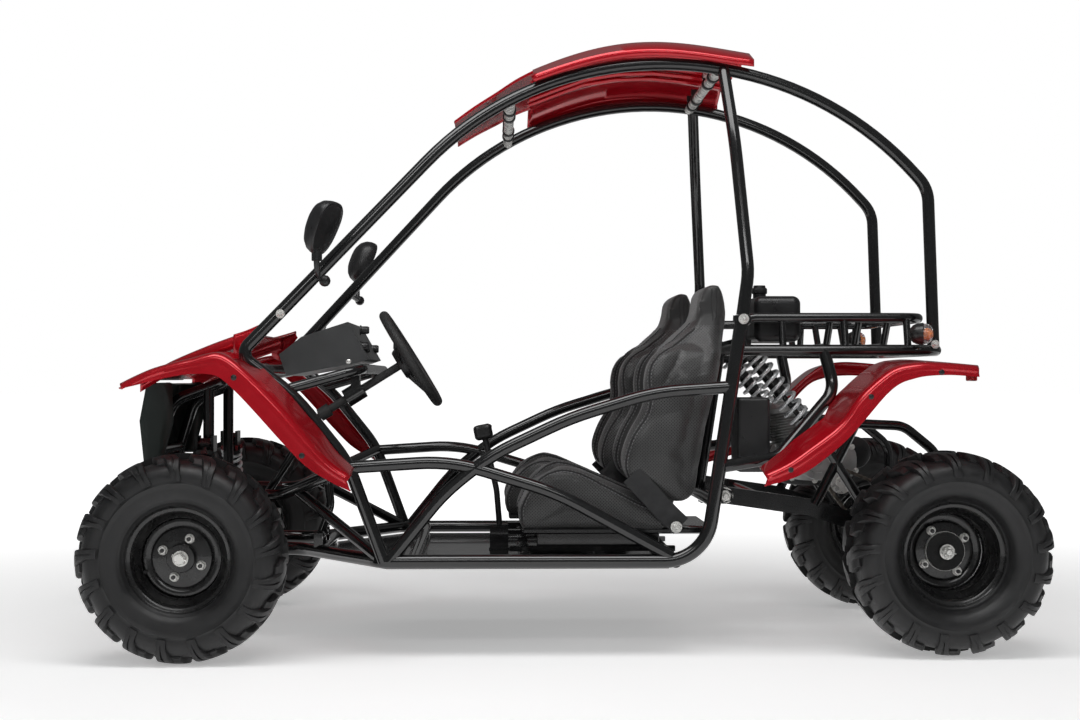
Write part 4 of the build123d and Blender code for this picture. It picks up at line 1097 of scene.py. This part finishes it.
def rounded(points, count=64):
    """Smooth closed (x, z) outline through the points."""
    loop = closed_outline(points, count)
    return [(p.x, p.z) for p in loop]


def drive_line():
    links = 72
    path = chain_path(links)
    rollers, plates = Shape(), Shape()
    for i, p in enumerate(path):
        q = path[(i + 1) % links]
        rollers.lathe([(0.0038, -0.0042), (0.0038, 0.0042)], (p.x, 0.100, p.z), (0, 1, 0), 12)
        rollers.lathe([(0.0019, -0.0060), (0.0019, 0.0060)], (p.x, 0.100, p.z), (0, 1, 0), 8)
        along = (q - p).normalized()
        across = Vector((-along.z, 0, along.x))
        mid, reach = (p + q) / 2, (q - p).length / 2
        outline = []
        for t in np.linspace(-math.pi / 2, math.pi / 2, 6):
            outline.append(mid + along * (reach + 0.0040 * math.cos(t)) + across * 0.0042 * math.sin(t))
        outline.append(mid + across * 0.0031)
        for t in np.linspace(math.pi / 2, 3 * math.pi / 2, 6):
            outline.append(mid + along * (-reach + 0.0040 * math.cos(t)) + across * 0.0042 * math.sin(t))
        outline.append(mid - across * 0.0031)
        y = 0.0052 if i % 2 else 0.0038
        for way in (1, -1):
            slab(plates, [(v.x, v.z) for v in outline], 0.100 + way * y - 0.0005, 0.100 + way * y + 0.0005,
                 0.0002)
    place(plates.object("chain_plates"), "swing_arm", CHAIN_STEEL, "zinc_steel", ["drive_chain"])
    place(rollers.object("chain_rollers"), "swing_arm", CHAIN_STEEL, "zinc_steel")
    for name, ((x, z), radius), teeth, body in (("axle_sprocket_teeth", SPROCKET, 44, "rear_axle"),
                                                ("pinion_teeth", PINION, 15, "drive_sprocket")):
        outline = []
        for k in range(teeth):
            for part, r in ((0.0, -0.0042), (0.18, -0.0030), (0.34, 0.0014), (0.5, 0.0030), (0.66, 0.0014),
                            (0.82, -0.0030)):
                t = math.tau * (k + part) / teeth
                outline.append((x + (radius + r) * math.cos(t), z + (radius + r) * math.sin(t)))
        gear = Shape()
        slab(gear, outline, 0.0978, 0.1022, 0.0006)
        place(gear.object(name), body, DARK_STEEL, "zinc_steel")


def engine():
    alloy, black, bright, dark = Shape(), Shape(), Shape(), Shape()
    case = rounded([(-0.508, 0.372), (-0.506, 0.402), (-0.512, 0.432), (-0.545, 0.447), (-0.600, 0.449),
                    (-0.660, 0.446), (-0.688, 0.428), (-0.693, 0.395), (-0.684, 0.366), (-0.640, 0.356),
                    (-0.560, 0.356)], 60)
    slab(alloy, case, -0.072, 0.060, 0.006)
    slab(alloy, [(x * 0.985 - 0.009, z * 0.985 + 0.006) for x, z in case], 0.059, 0.068, 0.002)
    cover = (-0.598, 0, 0.403)
    alloy.lathe([(0.047, 0.066), (0.047, 0.070), (0.044, 0.0742), (0.030, 0.0750), (0.0285, 0.0725),
                 (0.0120, 0.0725),
                 (0.0105, 0.0750)], cover, (0, 1, 0), 56)
    for k in range(10):
        t = math.tau * k / 10
        at = Vector((cover[0] + 0.0405 * math.cos(t), 0, cover[2] + 0.0405 * math.sin(t)))
        alloy.tube([at + Vector((0, 0.0735, 0)), Vector((cover[0] + 0.030 * math.cos(t), 0.0745,
                                                         cover[2] + 0.030 * math.sin(t)))], 0.0018, 6)
    for k in range(9):
        i = int(len(case) * k / 9)
        x, z = case[i][0] * 0.975 - 0.015, case[i][1] * 0.975 + 0.010
        bright.bolt((x, 0.0675, z), (0, 1, 0), 0.0048, 0.0045)
    up = (Vector((-0.528, 0, 0.520)) - Vector((-0.545, 0, 0.440))).normalized()
    foot = Vector((-0.545, 0, 0.436))
    alloy.lathe([(0.036, 0), (0.036, 0.084)], foot, up, 32)
    for k in range(11):
        at = foot + up * (0.012 + k * 0.0064)
        wide = 0.0475 - 0.0015 * abs(k - 5) / 5
        ring = []
        side_dir = Vector((0, 1, 0))
        front_dir = side_dir.cross(up).normalized()
        for dz, inset in ((0, 0.001), (0.0005, 0), (0.0016, 0), (0.0021, 0.001)):
            loop = []
            for t in turns(28):
                c, s = math.cos(t), math.sin(t)
                power = 1 / max((abs(c) ** 4 + abs(s) ** 4) ** 0.25, 1e-6)
                r = (wide - inset) * min(power, 1.14)
                loop.append(at + up * dz + side_dir * c * r + front_dir * s * r)
            ring.append(loop)
        alloy.skin(ring, caps=True)
    head = foot + up * 0.083
    alloy.lathe([(0.047, 0), (0.0475, 0.003), (0.0475, 0.012), (0.044, 0.016), (0.040, 0.022),
                 (0.028, 0.0245),
                 (0, 0.025)], head, up, 40)
    bright.bolt(head + up * 0.024, up, 0.007, 0.007)
    dark.tube([head + Vector((-0.01, 0.035, 0.006)), head + Vector((-0.02, 0.065, 0.020)),
               head + Vector((-0.045, 0.074, 0.004))], 0.006, 10)
    body_at = Vector((-0.640, 0.030, 0.462))
    alloy.box(body_at - Vector((0.020, 0.016, 0.014)), body_at + Vector((0.020, 0.016, 0.016)), chamfer=0.004)
    alloy.lathe([(0.013, 0), (0.0145, 0.004), (0.0145, 0.018), (0.011, 0.021), (0, 0.022)],
                body_at - Vector((0, 0, 0.012)), (0, 0, -1), 28)
    alloy.lathe([(0.0165, 0), (0.0165, 0.022), (0.0175, 0.024), (0.0175, 0.028)],
                body_at + Vector((-0.018, 0, 0.004)),
                (-1, 0, 0), 28)
    bright.lathe([(0.004, 0), (0.004, 0.012), (0.0055, 0.013), (0.0055, 0.018)],
                 body_at + Vector((0, 0.016, 0.006)),
                 (0, 1, 0), 12)
    alloy.tube([(-0.618, 0.02, 0.466), (-0.590, 0.01, 0.470), (-0.566, 0.0, 0.484)], 0.012, 16)
    cvt = rounded([(-0.502, 0.360), (-0.500, 0.412), (-0.530, 0.442), (-0.575, 0.450), (-0.640, 0.444),
                   (-0.688, 0.420), (-0.703, 0.385), (-0.696, 0.352), (-0.650, 0.337), (-0.560, 0.337)], 60)
    slab(black, cvt, -0.078, -0.140, 0.006)
    for centre, r in (((-0.545, 0, 0.394), 0.036), ((-0.648, 0, 0.392), 0.040)):
        black.lathe([(r, 0.138), (r, 0.144), (r - 0.004, 0.1475), (r * 0.5, 0.1490), (r * 0.4, 0.1465),
                     (0, 0.1465)],
                    centre, (0, -1, 0), 48)
        for k in range(8):
            t = math.tau * k / 8
            black.tube([Vector((centre[0] + r * 0.45 * math.cos(t), -0.1475,
                                centre[2] + r * 0.45 * math.sin(t))),
                        Vector((centre[0] + r * 0.9 * math.cos(t), -0.1465,
                                centre[2] + r * 0.9 * math.sin(t)))],
                       0.0014, 6)
    for k in range(8):
        x, z = cvt[int(len(cvt) * k / 8)]
        bright.bolt((x * 0.975 - 0.015, -0.1395, z * 0.975 + 0.010), (0, -1, 0), 0.0042, 0.004)
    can = (-0.690, 0, 0.420)
    black.lathe([(0.010, -0.0600), (0.030, -0.0590), (0.0365, -0.0560), (0.038, -0.0520), (0.0372, -0.0505),
                 (0.0372, -0.0460), (0.038, -0.0445), (0.038, 0.0445), (0.0372, 0.0460), (0.0372, 0.0505),
                 (0.038, 0.0520), (0.0365, 0.0560), (0.030, 0.0590), (0.010, 0.0600)], can, (0, 1, 0), 48)
    for y in (-0.03, 0.03):
        bright.lathe([(0.0386, -0.005), (0.0390, -0.0042), (0.0390, 0.0042), (0.0386, 0.005)],
                     (can[0], y, can[2]), (0, 1, 0), 48)
    black.tube(smooth_line([(-0.512, 0.0, 0.492), (-0.492, -0.02, 0.470), (-0.520, -0.045, 0.455),
                            (-0.600, -0.05, 0.462), (-0.665, -0.040, 0.440)], 30), 0.011, 14)
    black.lathe([(0.022, 0.060), (0.022, 0.078)], (-0.648, 0, 0.352), (0, 1, 0), 32)
    place(alloy.object("engine_castings"), "swing_arm", MATERIALS["engine_alloy"], "engine_alloy", ["engine"])
    place(black.object("belt_cover_and_silencer"), "swing_arm", MATERIALS["black_plastic"], "black_plastic")
    place(bright.object("engine_bolts"), "swing_arm", MATERIALS["zinc_steel"], "zinc_steel")
    place(dark.object("plug_lead"), "swing_arm", MATERIALS["soft_grip"], "soft_grip")


# ---------------------------------------------------------------- controls and small parts
def mirrors():
    """Folding mirror: ball in its socket, bent stem, teardrop shell bulging forward, glass facing back."""
    for name, side in SIDES:
        arm, head, silver = Shape(), Shape(), Shape()
        ball = Vector((0.521, 0.486, 0.802))
        path = smooth_line([ball, (0.524, 0.512, 0.801), (0.530, 0.536, 0.812), (0.532, 0.547, 0.838),
                            (0.5315, 0.549, 0.870)], 30)
        arm.tube(path, [0.0044] * 14 + [0.0055] * 2 + [0.0064] * 14, 16)
        arm.lathe([(0.0001, -0.0124), (0.0063, -0.0109), (0.0108, -0.0062), (0.0124, 0), (0.0108, 0.0062),
                   (0.0063, 0.0109), (0.0001, 0.0124)], ball, (0, 0, 1), 32)
        arm.lathe([(0.0098, -0.010), (0.0110, -0.009), (0.0110, 0.009), (0.0098, 0.010), (0.0068, 0.012)],
                  (0.5315, 0.549, 0.850), (0, 0, 1), 28)
        centre, tilt = Vector((0.523, 0.550, 0.912)), math.radians(-24)
        turn = Matrix.Rotation(math.radians(-30), 3, "Z") @ Matrix.Rotation(tilt, 3, "Y")

        def outline(depth, shrink):
            loop = []
            for t in turns(48):
                c, s = math.cos(t), math.sin(t)
                power = 1 / (abs(c) ** 2.5 + abs(s) ** 2.5) ** (1 / 2.5)
                z = s * power * 0.0590 * shrink
                y = c * power * 0.0440 * shrink * (1 - 0.26 * (0.059 - z) / 0.118)
                loop.append(centre + turn @ Vector((depth, y, z)))
            return loop

        head.skin([outline(d, k) for d, k in (
            (-0.0150, 0.90), (-0.0175, 0.925), (-0.0178, 0.975), (-0.0165, 0.995), (-0.0120, 1.0),
            (-0.0040, 0.985),
            (0.0060, 0.93), (0.0150, 0.80), (0.0215, 0.60), (0.0250, 0.36), (0.0260, 0.08))], caps=True)
        silver.skin([outline(d, k) for d, k in ((-0.0158, 0.91), (-0.0162, 0.905), (-0.0164, 0.02))],
                    caps=True)
        for shape in (arm, head, silver):
            shape.verts = mirrored(shape.verts, side)
        body = f"mirror_{name}"
        place(head.object(f"mirror_shell_{name}"), body, MATERIALS["black_plastic"], "black_plastic",
              [f"mirror_{name}"])
        place(arm.object(f"mirror_stem_{name}"), body, MATERIALS["black_plastic"], "black_plastic")
        place(silver.object(f"mirror_glass_{name}"), body, MIRROR_GLASS, "zinc_steel")


def steering_grip():
    """Soft ring with finger ridges at the back, three spoke plates (drawn without their drillings) and a
    padded hub.
    """
    centre = Vector((0.353, 0.200, 0.641))
    down = (Vector((0.569, 0.200, 0.506)) - centre).normalized()
    up, side = -down, Vector((0, 1, 0))
    other = up.cross(side).normalized()
    ring = []
    for i in range(144):
        t = math.tau * i / 144
        ridge = 0.0004 * (1 + math.cos(t * 36))
        ring.append((centre + (side * math.cos(t) + other * math.sin(t)) * 0.114, 0.0108 + ridge * 0.0))
    grip = Shape()
    rings = []
    for i, (p, _) in enumerate(ring):
        t = math.tau * i / 144
        out = (side * math.cos(t) + other * math.sin(t))
        loop = []
        for a in turns(20):
            facing = max(0.0, -math.sin(a) * 0.3 - math.cos(a) * 0.95)
            ridge = 0.0011 * facing * (0.5 + 0.5 * math.cos(t * 30))
            loop.append(p + (out * math.cos(a) + up * math.sin(a)) * (0.0110 - ridge))
        rings.append(loop)
    grip.skin(rings, loop=True)
    hub = Shape()
    hub.lathe([(0.034, -0.030), (0.037, -0.024), (0.037, -0.012), (0.034, -0.006), (0.022, -0.0035),
               (0, -0.003)],
              centre, up, 48)
    for angle in (90, 210, 330):
        reach = side * math.cos(math.radians(angle)) + other * math.sin(math.radians(angle))
        across = up.cross(reach)
        rows = []
        for s, half, drop in ((0.030, 0.020, -0.021), (0.050, 0.0165, -0.019), (0.075, 0.0150, -0.010),
                              (0.098, 0.0165, -0.002), (0.106, 0.019, 0.0)):
            p = centre + reach * s + up * drop
            rows.append([p - across * half + up * 0.0014, p + across * half + up * 0.0014,
                         p + across * half - up * 0.0014, p - across * half - up * 0.0014])
        hub.skin(rows, caps=True)
    bolts = Shape()
    for k in range(3):
        t = math.radians(30 + 120 * k)
        bolts.bolt(centre + up * -0.004 + (side * math.cos(t) + other * math.sin(t)) * 0.026, up, 0.004,
                   0.003)
    place(grip.object("steering_grip"), "steering", MATERIALS["soft_grip"], "soft_grip")
    place(hub.object("steering_hub_and_spokes"), "steering", MATERIALS["black_plastic"], "black_plastic")
    place(bolts.object("steering_hub_bolts"), "steering", MATERIALS["zinc_steel"], "zinc_steel")


def lever_and_cap():
    knob = Shape()
    axis = (Vector((0.192, 0, 0.486)) - Vector((0.186, 0, 0.450))).normalized()
    rings = []
    for h, along_x, along_y in ((0, 0.0085, 0.0085), (0.003, 0.011, 0.0105), (0.010, 0.012, 0.012),
                                (0.018, 0.0165, 0.014), (0.026, 0.0215, 0.0155), (0.031, 0.0225, 0.0155),
                                (0.035, 0.019, 0.0135), (0.0368, 0.010, 0.0075), (0.037, 0.002, 0.0015)):
        p = Vector((0.1865, 0, 0.4495)) + axis * h
        front = Vector((axis.z, 0, -axis.x))
        rings.append([p + front * math.cos(t) * along_x + Vector((0, 1, 0)) * math.sin(t) * along_y
                      for t in turns(36)])
    knob.skin(rings, caps=True)
    place(knob.object("lever_knob"), "hand_lever", MATERIALS["soft_grip"], "soft_grip")
    cap = Shape()
    rings = []
    for z, r, tooth in ((0.7925, 0.0165, 0), (0.7935, 0.0178, 0.0006), (0.8035, 0.0178, 0.0006),
                        (0.8058, 0.0165, 0.0003),
                        (0.8066, 0.0142, 0), (0.8105, 0.0138, 0), (0.8119, 0.0128, 0), (0.8120, 0.0010, 0)):
        rings.append([(-0.453 + (r - tooth * (i % 4 > 1)) * math.cos(t),
                       0.125 + (r - tooth * (i % 4 > 1)) * math.sin(t),
                       z) for i, t in enumerate(turns(144))])
    cap.skin(rings, caps=True)
    cap.box((-0.465, 0.1225, 0.8075), (-0.441, 0.1275, 0.8119), chamfer=0.0015)
    place(cap.object("fuel_cap_ribbed"), "fuel_cap", MATERIALS["black_plastic"], "black_plastic",
          ["fuel_cap"])
    flange = Shape()
    rings = []
    for dz, out in ((-0.0016, 0.0055), (-0.0008, 0.0075), (0.0010, 0.0075), (0.0018, 0.0055),
                    (0.0018, -0.004),
                    (-0.0016, -0.004)):
        loop = []
        for t in turns(96):
            c, s = math.cos(t), math.sin(t)
            power = 1 / (abs(c) ** 7 + abs(s) ** 7) ** (1 / 7)
            loop.append((-0.478 + c * power * (0.053 + out), 0.125 + s * power * (0.118 + out), 0.722 + dz))
        rings.append(loop)
    flange.skin(rings, loop=True)
    place(flange.object("tank_seam"), "root", MATERIALS["black_plastic"], "black_plastic")


def lamps():
    bowls, lenses, bulbs, back = Shape(), Shape(), Shape(), Shape()
    for _, side in SIDES:
        centre, axis = Vector((-0.779, side * 0.360, 0.694)), Vector((-1, side * 0.25, 0)).normalized()
        front = centre - axis * 0.004
        bowls.lathe([(0.004, -0.026), (0.012, -0.024), (0.0190, -0.018), (0.0228, -0.010), (0.0242, 0),
                     (0.0246, 0.004),
                     (0.0236, 0.0055), (0.0205, 0.0045), (0.0190, -0.008)], front, axis, 44)
        lenses.lathe([(0.0228, 0.0050), (0.0228, 0.0075), (0.0214, 0.0150), (0.0175, 0.0210),
                      (0.0105, 0.0248),
                      (0.0020, 0.0260)], front, axis, 44)
        bulbs.lathe([(0.0001, 0.0200), (0.0062, 0.0184), (0.0092, 0.0120), (0.0082, 0.0050), (0.0050, 0.0010),
                     (0.0050, -0.004)], front, axis, 24)
        bowls.tube([centre + Vector((0.004, side * -0.014, -0.010)), (-0.777, side * 0.325, 0.687),
                    (-0.777, side * 0.3130, 0.680)], (0.0065, 0.0062, 0.0070), 16)
        back.box((-0.8715, side * 0.427 - 0.034, 0.5905), (-0.8640, side * 0.427 + 0.034, 0.6195),
                 chamfer=0.002)
        for k in range(6):
            y = side * 0.427 - 0.0275 + k * 0.011
            back.tube([(-0.8716, y, 0.594), (-0.8716, y, 0.616)], 0.0012, 6)
    place(bowls.object("indicator_bowls"), "root", MATERIALS["lamp_black"], "lamp_black", ["rear_lamps"])
    place(lenses.object("indicator_lenses"), "root", CLEAR_LENS, "lamp_black")
    place(bulbs.object("indicator_bulbs"), "root", AMBER, "lamp_black")
    place(back.object("rear_reflectors"), "root", RED_LENS, "red_plastic")


def hardware():
    """Zinc bolts, clamps and dash fittings fixed to the frame."""
    zinc, black = Shape(), Shape()
    for _, side in SIDES:
        out = (0, side, 0)
        for x, y, z, r in ((-0.368, 0.4702, 0.723, 0.0075), (0.617, 0.4657, 0.7330, 0.0065),
                           (-0.355, 0.2565, 0.333, 0.0125),
                           (-0.818, 0.3105, 0.672, 0.0065), (0.728, 0.392, 0.2615, 0.0)):
            if r:
                zinc.bolt((x, side * y, z), out, r, r * 0.9)
        for x, z in ((0.70, 0.606), (0.560, 0.445), (-0.46, 0.412), (-0.63, 0.566), (-0.78, 0.617)):
            y = 0.5698 if x > 0 else 0.5198
            black.lathe([(0.0062, 0), (0.0060, 0.0012), (0.0042, 0.0021), (0, 0.0023)],
                        (x, side * (y - 0.0008), z - 0.008),
                        out, 20)
        for x, z in ((0.129, 1.204), (-0.335, 1.283)):
            for y in (0.118, 0.215):
                black.lathe([(0.0122, -0.008), (0.0150, -0.007), (0.0150, 0.007), (0.0122, 0.008)],
                            (x, side * y, z),
                            (0, 1, 0), 32)
                black.box((x - 0.004, side * y - 0.007, z + 0.010), (x + 0.014, side * y + 0.007, z + 0.024),
                          chamfer=0.001)
                zinc.bolt((x + 0.006, side * (y + 0.0075), z + 0.018), out, 0.0052, 0.0045)
        zinc.lathe([(0.0058, 0), (0.0056, 0.0012), (0.0040, 0.0024), (0, 0.0026)],
                   (0.493, side * 0.2148, 0.634), out, 18)
    for x, half, z in ((0.129, 0.355, 1.204), (-0.335, 0.290, 1.283)):
        zinc.tube([(x, -half, z), (x, half, z)], 0.0116, 28)
    for y, z, size in ((0.178, 0.668, 0.011), (0.145, 0.664, 0.009), (0.180, 0.706, 0.009),
                       (-0.150, 0.668, 0.010)):
        black.lathe([(size * 1.25, 0), (size * 1.25, 0.003), (size, 0.004), (size, 0.017),
                     (size * 0.8, 0.021), (0, 0.021)],
                    (0.470, y, z), (-1, 0, 0), 24)
    place(zinc.object("frame_bolts_and_clamps"), "root", MATERIALS["zinc_steel"], "zinc_steel")
    place(black.object("panel_rivets_and_switches"), "root", MATERIALS["black_plastic"], "black_plastic")


set_stage()
dress_cad_nodes()
wheels()
shocks()
fenders()
roof()
hood()
drive_line()
engine()
mirrors()
steering_grip()
lever_and_cap()
lamps()
hardware()
seats()
